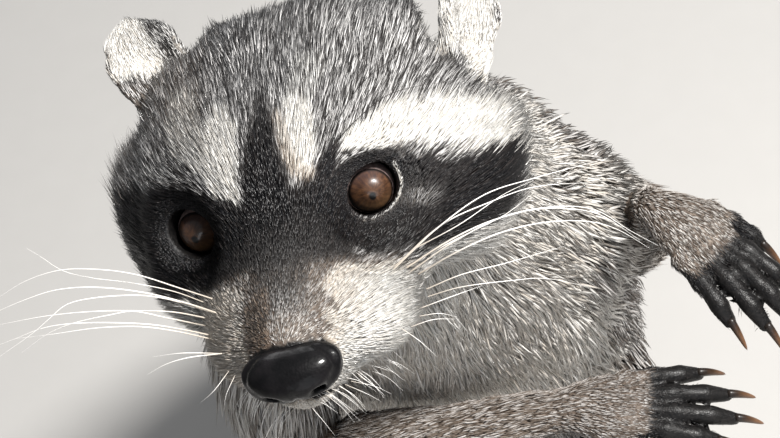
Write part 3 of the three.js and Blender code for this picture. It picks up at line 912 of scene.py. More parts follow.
def head_lie(q):
    """The same five numbers for the head."""
    x, y, z = q.T
    length = profile(y, (-58, 1.4), (-50, 2), (-40, 3), (-24, 4.4), (-8, 6.4), (8, 8.4), (28, 11.5), (60, 17))
    width = profile(y, (-58, 0.24), (-45, 0.27), (-20, 0.29), (10, 0.32), (40, 0.48), (70, 0.9))
    lift = profile(y, (-58, 14), (-30, 16), (0, 20), (30, 29))
    many = profile(y, (-58, 8), (-40, 6.6), (-10, 5.2), (15, 4.2), (40, 2.3), (80, 0.7))
    lips = smooth(-7, -14, z) * smooth(-52, -40, y) * smooth(6, -8, y)
    cheek = smooth(26, 50, np.abs(x)) * smooth(2, 26, y) * smooth(22, 0, z)
    throat = smooth(-24, -32, z) * smooth(-30, 0, y)
    for share, longer, steeper in ((lips, 3.6, 9), (cheek, 9, 13), (throat, 4, 6)):
        length += longer * share
        lift += steeper * share
    # short, fine and close hair round the eyes
    close = smooth(18, 9, eye_distance(q))
    length += (1.7 - length) * close
    width += (0.26 - width) * close
    many += (8 - many) * close
    for side, (place, _) in EAR_PLACES.items():
        e = place.local(q)
        field = EAR_FIELDS[side](q)
        by_ear = smooth(14, 4, field) * smooth(-20, -8, e[:, 2])
        length += (np.minimum(length, 7) - length) * by_ear
        lift += (15 - lift) * by_ear
        on_ear = smooth(4, -1, field) * smooth(0, 9, e[:, 2])
        length += (3.3 - length) * on_ear
        lift += (9 - lift) * on_ear
        width += (0.32 - width) * on_ear
        many += (6 - many) * on_ear
    return length, width, lift, lift * HEAD_DROP, many


def outward_from(form, p):
    """Place along a limb and the direction out from its spine."""
    q = p if form.place is None else form.place.local(p)
    _, along, nearest = form.measure(p)
    off = square_to(form.tangent[nearest], q - form.centres[nearest])
    return along, unit(off if form.place is None else form.place.turned(off))


# where along a paw its digits become bare, and how bare they are
PAW_BARE = {"hand": (26, 34, 0.96), "foot": (70, 80, 0.7)}
SHARE_BLEND = 4.5  # how softly, in millimetres, one part's coat gives way to the next one's


class Hide:
    """The skin's mesh with all that the coat needs to know at each of its vertices."""

    def __init__(self, points, faces):
        self.points, self.faces = points, faces
        fields = {}
        for name, (form, _) in PARTS.items():
            field = np.full(len(points), FAR)
            near = np.all((points > form.reach[0]) & (points < form.reach[1]), axis=1)
            field[near] = form.field(points[near])
            fields[name] = field
        power = np.exp(-np.clip(np.stack([fields[n] for n in NAMES], 1), -5, FAR) / SHARE_BLEND)
        power /= power.sum(1, keepdims=True)
        self.weight = dict(zip(NAMES, power.T))
        self.normal = unit(slope(skin_field, points)[1])
        self.around = {}
        flow = np.zeros((len(points), 3))
        lie = np.zeros((5, len(points)))
        q = HEAD_PLACE.local(points)
        for name, (form, _) in PARTS.items():
            share = self.weight[name]
            near = share > 0.01
            way = np.zeros((len(points), 3))
            if name == "head":
                way[near] = form.flow(points[near])
                numbers = np.array(head_lie(q))
            else:
                way[near] = form.flow(points[near]) * (-1 if name == "trunk" else 1)
                numbers = np.array(LIE[name.replace("left_", "").replace("right_", "")], float)[:, None]
            if isinstance(form, Limb):
                along, out = np.zeros(len(points)), np.tile(arr(0, 0, 1), (len(points), 1))
                along[near], out[near] = outward_from(form, points[near])
                self.around[name] = along, out
            flow += way * share[:, None]
            lie += numbers * share
        # a shorter, finer and closer coat on the chest and the neck
        trunk_along, trunk_out = self.around["trunk"]
        chest = self.weight["trunk"] * smooth(0.2, 0.7, trunk_out @ arr(0, -1, 0))
        chest = chest * smooth(150, 220, points[:, 2])
        neck = self.weight["trunk"] * smooth(0.6, 0.75, trunk_along)
        fine = np.maximum(chest, neck)
        lie[0] -= CHEST_COAT["shorter"] * fine
        lie[1] += (CHEST_COAT["width"] - lie[1]) * fine * CHEST_COAT["share"]
        lie[4] += CHEST_COAT["closer"] * fine
        self.flow = self.relaxed(flow)
        self.lie = lie
        depth = coat_depth(q)
        head = lid_marks(q, *head_marks(HEAD_PLACE.local(points + self.normal * depth[:, None])))
        body = body_marks(points, self.around, self.weight)
        share = self.weight["head"]
        marks = enumerate(zip(head, body))
        self.marks = [h * share + b * (1 - share) if i else h * share + b for i, (h, b) in marks]
        self.bare = self.bare_skin(q)

    def relaxed(self, flow, rounds=6):
        """The directions along the skin, evened out between neighbours."""
        a, b = self.faces.T.ravel(), np.roll(self.faces, -1, axis=1).T.ravel()
        n = len(flow)
        count = np.bincount(a, minlength=n) + np.bincount(b, minlength=n) + 1.0
        for _ in range(rounds):
            flow = unit(square_to(self.normal, flow))
            sums = [v + np.bincount(a, v[b], n) + np.bincount(b, v[a], n) for v in flow.T]
            flow = np.stack(sums, 1) / count[:, None]
        return unit(square_to(self.normal, flow))

    def bare_skin(self, q):
        """1 where no hair grows: lids' rims, lips, under the nose pad, soles, palms and digits."""
        bare = np.zeros(len(q))
        for sign in (1, -1):
            e = eye_local(q, sign)
            off = np.linalg.norm(e, axis=1)
            rim = smooth(-0.8, -0.25, lid_opening(e)) * (e[:, 2] > 0) * (off < 10.5)
            bare = np.maximum(bare, np.maximum(rim, off < EYE["radius"] + 0.5))
        lips = rope(LIP_LINE, [0.9] * 5 + [0.5])
        bare = np.maximum(bare, smooth(0.9, 0.4, lips(folded(q, LIP_MIDDLE))))
        bare = np.maximum(bare, nose_field(q) < 0.5)
        for side in SIDES:
            for name, (start, end, most) in PAW_BARE.items():
                part = f"{side}_{name}"
                place = PARTS[part][0].place
                y = place.local(self.points)[:, 1]
                under = smooth(-0.2, -0.5, self.normal @ place.axes[:, 2]) * smooth(-4, 4, y)
                tips = smooth(start, end, y) * most
                bare = np.maximum(bare, smooth(0.3, 0.6, self.weight[part]) * np.maximum(under, tips))
        return np.maximum(bare, self.points[:, 2] < 1.2)


# ---------- locks of hair ----------
BEND = 0.45  # the share of a lock's length that runs in its first direction, before it turns to its second
REST = 1 - BEND
CLUMP = 16  # locks in a clump, on average
RING = np.array([(math.cos(a), math.sin(a)) for a in (math.pi * 0.5, math.pi * 7 / 6, math.pi * 11 / 6)])


def lock_mesh(root, way, rise, length, width, side, rings):
    """Closed tapering locks, all in one mesh: root, one or two rings of three, and a tip.

    `way` and `rise` are a lock's directions before and after its bend.
    """
    count = len(root)
    places = [(0.42, 1.0)] if rings == 1 else [(0.25, 1.0), (0.68, 0.72)]
    spots, along, comb = [root], [np.zeros(count)], [np.ones(count)]
    for share, girth in places:
        first = min(share, BEND)
        centre = root + way * (length * first)[:, None] + rise * (length * (share - first))[:, None]
        heading = unit(way * (1 - share) + rise * share)
        across = unit(square_to(heading, side))
        deep = np.cross(heading, across)
        for k, (u, v) in enumerate(RING):
            spots.append(centre + (across * v + deep * u * 0.6) * (width * girth / 2)[:, None])
            along.append(np.full(count, share))
            comb.append(np.full(count, float((k + 2) % 3)))
    spots.append(root + way * (length * BEND)[:, None] + rise * (length * REST)[:, None])
    along.append(np.ones(count))
    comb.append(np.ones(count))
    size = len(spots)
    faces = []
    for k in range(3):
        n = (k + 1) % 3
        faces.append((0, 1 + n, 1 + k))
        if rings == 2:
            faces += [(1 + k, 1 + n, 4 + n), (1 + k, 4 + n, 4 + k)]
        faces.append((size - 1, size - 4 + k, size - 4 + n))
    points = np.stack(spots, 1).reshape(-1, 3)
    faces = (np.array(faces)[None] + (np.arange(count) * size)[:, None, None]).reshape(-1, 3)
    return points, faces, np.stack(along, 1), np.stack(comb, 1), size


SPOT = 0.0014  # half the size of a lock's spot on its unwrap


def cells(u, v):
    """Each lock's own spot on the flattened skin: rows by `v`, and places along a row by `u`."""
    rows = math.ceil(math.sqrt(len(u)))
    row = np.empty(len(u), int)
    row[np.argsort(v, kind="stable")] = np.arange(len(u)) // rows
    order = np.lexsort((u, row))
    column = np.empty(len(u), int)
    column[order] = np.arange(len(u)) % rows
    return (np.stack([column, row], 1) + 0.5) / rows


def coat_piece(name, locks, rings, flat):
    """One mesh of locks, with its unwrap and its attributes."""
    shape = [locks[k] for k in ("root", "way", "rise", "length", "width", "side")]
    points, faces, along, comb, size = lock_mesh(*shape, rings)
    piece = mesh_object(name, points, faces)
    looks = {k: np.repeat(locks[k], size) for k in ("chance", "pale", "black", "warm")}
    write_attributes(piece.data, along=along.ravel(), comb=comb.ravel(), **looks)
    around = np.array([(0, -1)] + [(0.9 * v, 0.9 * u - 0.1) for u, v in RING] * rings + [(0, 1)], float)
    if rings == 2:
        around[4:7] = around[4:7] * 0.55 + arr(0, 0.3)
    corner = (cells(*flat)[:, None] + around[None] * SPOT).reshape(-1, 2)
    layer = piece.data.uv_layers.new(name="OFBake")
    layer.data.foreach_set("uv", corner[faces.ravel()].astype(np.float32).ravel())
    return piece


def strew(hide, density, count, seed):
    """Roots strewn over the skin, as triangle numbers and weights of their corners."""
    draw = np.random.default_rng(seed)
    f, p = hide.faces, hide.points
    area = np.linalg.norm(np.cross(p[f[:, 1]] - p[f[:, 0]], p[f[:, 2]] - p[f[:, 0]]), axis=1) / 2
    share = area * density[f].mean(1)
    total = share.sum()
    count = min(count, int(total))
    at = (np.arange(count) + draw.uniform(0, 1, count)) * (total / count)
    face = np.minimum(np.searchsorted(np.cumsum(share), at), len(f) - 1)
    a, b = draw.uniform(0, 1, (2, count))
    a, b = np.where(a + b > 1, 1 - a, a), np.where(a + b > 1, 1 - b, b)
    return face, np.stack([1 - a - b, a, b], 1)


TIP_GAP = 0.9  # hair stays this far above the floor


def above_floor(root, way, reach, normal):
    """Directions as they are, but turned outward and up where the hair would go through the floor."""
    lowest = (TIP_GAP - root[:, 2]) / reach
    dip = np.clip(lowest - way[:, 2], 0, None)[:, None]
    turned = unit(way + unit(normal * arr(1, 1, 0) + arr(0, 1e-4, 0)) * dip)
    turned[:, 2] = np.maximum(turned[:, 2], lowest)
    return np.where(dip > 0, turned, way)


def clumped(draw, root, way, rise, length, most):
    """The two directions of each lock, with the tips drawn towards the tip of their clump's middle lock."""
    count = len(root)
    centres = draw.choice(count, count // CLUMP, replace=False)
    tree = KDTree(len(centres))
    for k, c in enumerate(centres):
        tree.insert(root[c], k)
    tree.balance()
    own = centres[[tree.find(r)[1] for r in root]]
    mid = root + way * (length * BEND)[:, None]
    tip = mid + rise * (length * REST)[:, None]
    pull = (most * np.clip(draw.uniform(0.4, 1.2, count), 0, 1))[:, None]
    tip = tip + (tip[own] - tip) * pull
    mid = mid + (mid[own] - mid) * pull * 0.4
    return (mid - root) / (length * BEND)[:, None], (tip - mid) / (length * REST)[:, None]


def grow(hide, where, count, seed, clump):
    """Locks over the part of the skin where `where` is true."""
    face, corner = strew(hide, hide.lie[4] * where * (1 - hide.bare), count, seed)
    draw = np.random.default_rng(seed + 1)
    count = len(face)
    index = hide.faces[face]

    def at(values):
        """Values at the skin's vertices, as they are at the roots."""
        return np.einsum("ij,ij...->i...", corner, values[index])

    root, normal, flow = at(hide.points), unit(at(hide.normal)), at(hide.flow)
    length, width, lift, drop, _ = (at(row) for row in hide.lie)
    chance = draw.uniform(0, 1, count)
    guard_hairs = np.where(draw.uniform(0, 1, count) < 0.05, 1.3, 1)
    longer = guard_hairs * draw.uniform(0.72, 1.12, count)
    swirl = hills(root, 34, seed + 2) * 0.22 + hills(root, 11, seed + 3) * 0.16
    turn = (swirl + draw.normal(0, 0.13, count)) * np.clip(length / 14, 0.35, 1)
    flow = unit(square_to(normal, flow))
    side = np.cross(normal, flow)
    flow = flow * np.cos(turn)[:, None] + side * np.sin(turn)[:, None]
    lift = np.radians(lift + draw.normal(0, 5, count) + 5 * hills(root, 17, seed + 4))
    drop = np.radians(drop + draw.normal(0, 4, count))
    way = unit(flow * np.cos(lift)[:, None] + normal * np.sin(lift)[:, None])
    rise = unit(flow * np.cos(drop)[:, None] + normal * np.sin(drop)[:, None])
    length = length * longer
    way, rise = clumped(draw, root, way, rise, length, clump)
    way = above_floor(root, way, length * BEND, normal)
    rise = above_floor(root + way * (length * BEND)[:, None], rise, length * REST, normal)

    # the markings are drawn as they show at the coat's outside, past the bend
    q = HEAD_PLACE.local(root)
    shown = root + normal * coat_depth(q)[:, None] + flow * (length * BEND)[:, None]
    on_head = at(hide.weight["head"]) > 0.5
    marks = []
    for drawn, vertex in zip(lid_marks(q, *head_marks(HEAD_PLACE.local(shown))), hide.marks):
        marks.append(np.clip(np.where(on_head, drawn, at(vertex)), 0, 1))
    sunk = normal * np.minimum(0.5, width * 0.5)[:, None]
    locks = {"root": root - sunk, "way": way, "rise": rise, "length": length}
    locks.update(width=width * draw.uniform(0.8, 1.2, count), side=np.cross(normal, flow), chance=chance)
    locks.update(zip(("pale", "black", "warm"), marks))
    return locks, at


# ---------- nose pad, eyes, claws ----------
def nose_field(q):
    """The plain form of the bare pad at the muzzle's end."""
    c = q - np.array(NOSE["at"], float)
    size = np.array(NOSE["size"], float)
    c = c / np.stack([1 - NOSE["narrowing"] * (size[2] - c[:, 2]), np.ones(len(c)), np.ones(len(c))], 1)
    s = np.abs(c / size)
    power = 2 / NOSE["square"]
    flat = (s[:, 0] ** power + s[:, 2] ** power) ** (2 / power)
    return (np.sqrt(flat + s[:, 1] ** 2) - 1) * size.min()


SLIT = [
    (7.6, -54.6, -12.3),
    (11.6, -56.8, -14.6),
    (13.2, -58.6, -18.2),
    (10.6, -60.9, -21.8),
    (6.4, -61.6, -24.2),
]
NOSE_BOX = ((-14.5, 19.5), (-65.5, -44.5), (-29, -10))
NOSE_STEP = 0.55


def nose_surface(q):
    """The pad with its nostrils, the slits beside them, and the groove down its middle."""
    mirror = folded(q, NOSE["at"][0])
    slit = rope(SLIT, [0.5, 1.1, 1.4, 1.4, 1.7])
    d = soft_max(nose_field(q) + 0.35, -slit(mirror), 1.3)
    d = soft_max(d, -taper((5.4, -63.5, -25.6), (6.4, -57, -21), 2.3, 1.3)(mirror), 1.2)
    groove = rope([(0, -63.4, -20.5), (0, -62.4, -23.5), (0, -58, -26.6)], [0.15, 0.4, 0.7])
    return soft_max(d, -groove(mirror), 1.4)


def build_nose():
    axes = tuple(np.arange(low, high, NOSE_STEP) for low, high in NOSE_BOX)
    points, quads = surface(sample(nose_surface, axes), axes)
    points = settle(nose_surface, points, 3, 0.3)
    return mesh_object("nose_pad", HEAD_PLACE.part(points), quads)


def grid_faces(rows, columns):
    """Quads of a tube of rings."""
    i, j = np.meshgrid(np.arange(rows - 1), np.arange(columns), indexing="ij")
    a, b = i * columns + j, i * columns + (j + 1) % columns
    return np.stack([a, b, b + columns, a + columns], -1).reshape(-1, 4)


def bm_object(name, bm):
    mesh = bpy.data.meshes.new(name)
    bm.to_mesh(mesh)
    bm.free()
    for polygon in mesh.polygons:
        polygon.use_smooth = True
    return placed(name, mesh)


def build_eye(side, sign):
    """An eyeball whose cornea stands a little proud, with its own three coordinates as attributes."""
    bm = bmesh.new()
    bmesh.ops.create_uvsphere(bm, u_segments=56, v_segments=44, radius=1)
    p = np.array([v.co[:] for v in bm.verts])
    radius = EYE["radius"]
    from_gaze = np.arccos(np.clip(p[:, 2], -1, 1))
    cornea = 0.55 * smooth(0.72, 0.25, from_gaze)
    local = p * (radius - 0.35 + cornea)[:, None]
    spot = local @ eye_axes(sign).T + ahead_of_eye(sign, -radius)
    for v, co in zip(bm.verts, HEAD_PLACE.part(spot) * MM):
        v.co = co
    bmesh.ops.recalc_face_normals(bm, faces=bm.faces)
    piece = bm_object(f"{side}_eyeball", bm)
    write_attributes(piece.data, across=local[:, 0], up=local[:, 1], ahead=local[:, 2])
    return piece


def tube(points, girths, side, segments):
    """A closed tube through stations of (half width, half depth)."""
    points, girths = np.array(points, float), np.array(girths, float)
    heading = unit(np.gradient(points, axis=0))
    across = unit(side - heading * (heading @ side)[:, None])
    deep = np.cross(across, heading)
    turn = np.arange(segments) / segments * math.tau
    rings = (
        points[:, None]
        + across[:, None] * (np.cos(turn)[None, :, None] * girths[:, None, :1])
        + deep[:, None] * (np.sin(turn)[None, :, None] * girths[:, None, 1:])
    )
    vertices = [tuple(v) for v in rings.reshape(-1, 3)] + [tuple(points[0]), tuple(points[-1])]
    quads = [tuple(q) for q in grid_faces(len(points), segments)]
    start, end = len(vertices) - 2, len(vertices) - 1
    last = (len(points) - 1) * segments
    fans = [(start, (k + 1) % segments, k) for k in range(segments)]
    fans += [(end, last + k, last + (k + 1) % segments) for k in range(segments)]
    return vertices, quads + fans


def build_claws(side, kind):
    """Curved horny claws for one paw, in one mesh, with their distance from the root as an attribute."""
    paw = PARTS[f"{side}_{kind}"][0]
    length = (FINGERS if kind == "hand" else TOES)["claw"]
    bm = bmesh.new()
    reach = []
    t = np.linspace(0, 1, CLAW["rings"])
    for points, way in paw.digits:
        forward = unit(points[3] - points[2])
        start = points[3] + forward * (0.8 - CLAW["seat"])
        rise = CLAW["lift"] + length * (0.42 * t - 0.64 * t * t)
        centre = start + forward * (t * (length - 1.2))[:, None] + arr(0, 0, 1) * rise[:, None]
        taper_off = np.sqrt(np.clip(1 - t**2.6, 0, 1)) * (1 - 0.35 * t) * np.sqrt(np.clip(t / 0.06, 0.05, 1))
        girths = np.stack([taper_off * CLAW["girth"] * 0.4, taper_off * CLAW["girth"] * 0.52], 1) + 0.03
        vertices, faces = tube(centre, girths, arr(way[1], -way[0], 0), CLAW["segments"])
        made = [bm.verts.new(tuple(paw.place.part(v) * MM)) for v in vertices]
        for f in faces:
            bm.faces.new([made[i] for i in f])
        reach.append(np.append(np.repeat(t, CLAW["segments"]), [0, 1]))
    bmesh.ops.recalc_face_normals(bm, faces=bm.faces)
    piece = bm_object(f"{side}_{kind}_claws", bm)
    write_attributes(piece.data, reach=np.concatenate(reach))
    return piece


# ---------- shader maths ----------
class Wire:
    """An output of a shader node; arithmetic on it adds Math nodes."""

    def __init__(self, graph, socket):
        self.graph, self.socket = graph, socket

    def maths(self, operation, *values):
        return self.graph.node("ShaderNodeMath", {"operation": operation}, dict(enumerate(values)))

    def __add__(self, other):
        return self.maths("ADD", self, other)

    def __radd__(self, other):
        return self.maths("ADD", other, self)

    def __sub__(self, other):
        return self.maths("SUBTRACT", self, other)

    def __rsub__(self, other):
        return self.maths("SUBTRACT", other, self)

    def __mul__(self, other):
        return self.maths("MULTIPLY", self, other)

    def __rmul__(self, other):
        return self.maths("MULTIPLY", other, self)

    def __truediv__(self, other):
        return self.maths("DIVIDE", self, other)

    def __pow__(self, other):
        return self.maths("POWER", self, other)

    def step(self, low, high):
        """0 below `low` and 1 above `high`, softly."""
        values = {"Value": self, "From Min": low, "From Max": high}
        return self.graph.node("ShaderNodeMapRange", {"interpolation_type": "SMOOTHSTEP"}, values)


class Finish:
    """A material's node tree, round one Principled shader."""

    def __init__(self, name, **constants):
        self.material = bpy.data.materials.new(name)
        self.material.use_nodes = True
        self.tree = self.material.node_tree
        self.shader = self.tree.nodes["Principled BSDF"]
        for socket, value in constants.items():
            self.shader.inputs[socket.replace("_", " ")].default_value = value

    def node(self, kind, settings=None, inputs=None, out=0):
        made = self.tree.nodes.new(kind)
        for name, value in (settings or {}).items():
            if name == "stops":
                ramp = made.color_ramp
                while len(ramp.elements) < len(value):
                    ramp.elements.new(0.5)
                for element, (place, colour) in zip(ramp.elements, value):
                    element.position, element.color = place, (*colour, 1)
            else:
                setattr(made, name, value)
        for name, value in (inputs or {}).items():
            if isinstance(value, Wire):
                self.tree.links.new(value.socket, made.inputs[name])
            else:
                made.inputs[name].default_value = value
        return Wire(self, made.outputs[out])

    def attribute(self, name):
        return self.node("ShaderNodeAttribute", {"attribute_name": name}, out="Fac")

    def place(self):
        return self.node("ShaderNodeTexCoord", out="Object")

    def pebbles(self, feature, **values):
        """Distances in a pattern of cells."""
        return self.node("ShaderNodeTexVoronoi", {"feature": feature}, values, "Distance")

    def joined(self, x, y, z=0.0):
        return self.node("ShaderNodeCombineXYZ", inputs={0: x, 1: y, 2: z})

    def noise(self, where, scale, detail, rough):
        values = {"Vector": where, "Scale": scale, "Detail": detail, "Roughness": rough}
        return self.node("ShaderNodeTexNoise", inputs=values)

    def mix(self, share, first, second):
        first, second = (c if isinstance(c, Wire) else (*c, 1) for c in (first, second))
        return self.node("ShaderNodeMix", {"data_type": "RGBA"}, {0: share, 6: first, 7: second}, 2)

    def bump(self, height, depth, strength):
        return self.node("ShaderNodeBump", inputs={"Height": height, "Distance": depth, "Strength": strength})

    def feed(self, **sockets):
        for socket, wire in sockets.items():
            self.tree.links.new(wire.socket, self.shader.inputs[socket.replace("_", " ")])
        return self.material


BLACK = (0.008, 0.008, 0.0095)
SOOT = (0.024, 0.021, 0.020)
BROWN = (0.080, 0.058, 0.043)
TAN = (0.37, 0.28, 0.20)
ASH = (0.60, 0.59, 0.585)
CREAM = (0.56, 0.53, 0.485)
WHITE = (0.68, 0.675, 0.66)


def coat_finish():
    """Hair: bands along each one, odd dark and pale ones, and the markings with ragged borders; pale hair is
    darkened towards its root as painted shade between the locks.
    """
    f = Finish("coat_hair", Specular_IOR_Level=0.5)
    along, chance, comb = f.attribute("along"), f.attribute("chance"), f.attribute("comb")
    strand = f.noise(f.joined(comb * 1.7, chance * 61, along * 0.5), 2.4, 3, 0.6)
    odd = chance * 0.62 + strand.step(0.3, 0.7) * 0.38
    root = along.step(0.0, 0.45)
    band = along.step(0.22, 0.42) * (1 - along.step(0.8, 0.98) * 0.8)
    grizzled = f.mix(band * odd.step(0.46, 0.62), SOOT, ASH)
    warm = f.attribute("warm")
    dun = f.mix(band, BROWN, (0.20, 0.155, 0.12))
    grizzled = f.mix(warm * (1 - odd.step(0.5, 0.95) * 0.6), grizzled, dun)
    light = f.mix(odd.step(0.1, 0.8), CREAM, WHITE)
    light = f.mix(warm, light, f.mix(odd, TAN, CREAM))
    # painted shade: pale hair is darker towards its root, where the locks shade each other
    light = f.mix((1 - root) * 0.4, light, (0.30, 0.265, 0.225))
    pale = (f.attribute("pale") + (odd - 0.5) * 0.55).step(0.33, 0.67)
    black = (f.attribute("black") + (odd - 0.5) * 0.5).step(0.36, 0.62)
    colour = f.mix(pale, grizzled, light)
    dark = f.mix(odd.step(0.45, 0.95), BLACK, (0.034, 0.028, 0.026))
    dark = f.mix(odd.step(0.93, 0.99) * band, dark, (0.22, 0.21, 0.21))
    colour = f.mix(black, colour, dark)
    rough = 0.5 - black * 0.14 + (strand - 0.5) * 0.12
    return f.feed(Base_Color=colour, Roughness=rough)


def skin_finish():
    """Skin under the coat, and bare black hide on paws, lids and lips."""
    f = Finish("skin_hide", Specular_IOR_Level=0.25)
    place = f.place()
    fleck = f.noise(place, 900, 3, 0.6)
    warm = f.attribute("warm")
    coat = f.mix(fleck.step(0.35, 0.65), (0.03, 0.026, 0.024), (0.16, 0.145, 0.13))
    coat = f.mix(warm * 0.7, coat, (0.16, 0.105, 0.07))
    light = f.mix(warm, (0.45, 0.42, 0.38), (0.30, 0.22, 0.15))
    pale = (f.attribute("pale") + (fleck - 0.5) * 0.4).step(0.35, 0.65)
    black = (f.attribute("black") + (fleck - 0.5) * 0.4).step(0.35, 0.65)
    colour = f.mix(black, f.mix(pale, coat, light), (0.012, 0.012, 0.013))
    bare = f.attribute("bare")
    creases = f.pebbles("DISTANCE_TO_EDGE", Vector=place, Scale=1100.0)
    leather = f.mix(fleck.step(0.3, 0.75), (0.004, 0.004, 0.0042), (0.014, 0.0125, 0.012))
    colour = f.mix(bare, colour, leather)
    height = creases.step(0.0, 0.16) * 0.6 + f.noise(place, 420, 4, 0.6) * 0.8
    rough = 0.6 - bare * 0.22 + (fleck - 0.5) * 0.1
    return f.feed(Base_Color=colour, Roughness=rough, Normal=f.bump(height, 0.00016, 0.5))


def nose_finish():
    """Wet, finely pebbled black hide."""
    f = Finish("nose_hide", Specular_IOR_Level=0.07, Coat_Roughness=0.14, Coat_IOR=1.25)
    place = f.place()
    cell = f.pebbles("SMOOTH_F1", Vector=place, Scale=1450.0, Smoothness=0.6)
    soft = f.noise(place, 160, 3, 0.5)
    colour = f.mix(soft.step(0.35, 0.7), (0.003, 0.003, 0.0034), (0.008, 0.0072, 0.008))
    height = (1 - cell) * 0.5 + f.noise(place, 3000, 2, 0.5) * 0.12 + soft * 1.2
    wet = 0.3 + f.noise(place, 300, 3, 0.6).step(0.4, 0.6) * 0.6
    rough = 0.42 + (1 - cell) * 0.14
    return f.feed(Base_Color=colour, Roughness=rough, Coat_Weight=wet, Normal=f.bump(height, 0.00024, 0.5))


def eye_finish():
    """A brown iris round a dark pupil, a black rim, and a pinkish white beyond it, under a wet coat; painted
    light makes the iris lighter below, a painted sky reflection tints it blue-grey above, and the black rim
    is a dark limbus with painted shade of the lids.
    """
    f = Finish("eye_ball", Specular_IOR_Level=0.5, Coat_Roughness=0.015, Coat_IOR=1.4)
    across, up, ahead = f.attribute("across") + 0.45, f.attribute("up") + 0.7, f.attribute("ahead")
    far = (across * across + up * up) ** 0.5
    spoke = f.joined(across / (far + 0.01), up / (far + 0.01), far * 0.06)
    fibres = f.noise(spoke, 6.0, 5, 0.65)
    clouds = f.noise(f.joined(across, up), 0.8, 4, 0.65)
    iris = f.mix(fibres.step(0.3, 0.72), (0.034, 0.016, 0.009), (0.115, 0.054, 0.026))
    iris = f.mix(clouds.step(0.42, 0.7) * 0.7, iris, (0.020, 0.010, 0.008))
    # painted light: the lower part of the iris is lighter, where light coming through the cornea would fall
    painted_light_below = (1 - up).step(1.0, 6.5) * far.step(1.2, 4.0)
    iris = f.mix(painted_light_below * 0.5, iris, (0.135, 0.078, 0.036))
    # painted reflection: the upper part of the iris is tinted blue-grey, as the sky reflected in the cornea
    iris = f.mix(up.step(0.5, 6) * 0.3, iris, (0.062, 0.050, 0.062))
    spot_across, spot_up = across + 0.45, up + 1.1
    spot = (spot_across * spot_across * 1.5 + spot_up * spot_up) ** 0.5
    colour = f.mix(spot.step(1.5, 0.9), iris, (0.0015, 0.0015, 0.0015))
    edge = far + (fibres - 0.5) * 0.2
    # the black rim past the iris is partly a dark limbus, partly painted shade of the lids
    colour = f.mix(edge.step(5.3, 5.95), colour, (0.004, 0.003, 0.003))
    mottle = f.noise(f.joined(across, up, ahead), 0.9, 3, 0.6)
    white = f.mix(mottle.step(0.4, 0.6), (0.40, 0.27, 0.25), (0.56, 0.43, 0.40))
    colour = f.mix(edge.step(6.15, 6.35), colour, white)
    return f.feed(
        Base_Color=colour, Roughness=0.3 + (1 - fibres) * 0.1, Coat_Weight=0.8 + far.step(6.5, 5.0) * 0.2,
        Normal=f.bump(fibres, 0.00006, 0.4),
    )


def claw_finish():
    """Horn: black-brown at the root and amber towards the point, streaked along its length."""
    f = Finish("claw_horn", Specular_IOR_Level=0.5, Coat_Roughness=0.2)
    reach = f.attribute("reach")
    streak = f.noise(f.place(), 900, 3, 0.6)
    tone = (reach + (streak - 0.5) * 0.35).step(0.15, 0.95)
    colour = f.mix(tone, (0.012, 0.008, 0.006), (0.15, 0.068, 0.027))
    return f.feed(Base_Color=colour, Roughness=0.34 + (1 - streak) * 0.12, Normal=f.bump(streak, 0.0001, 0.4))


def whisker_finish(name, root, tip):
    f = Finish(name, Specular_IOR_Level=0.5)
    reach = f.attribute("reach")
    fine = f.noise(f.place(), 500, 2, 0.5)
    colour = f.mix(reach.step(0.0, 0.5), root, tip)
    return f.feed(Base_Color=colour, Roughness=0.36 + (fine - 0.5) * 0.14)


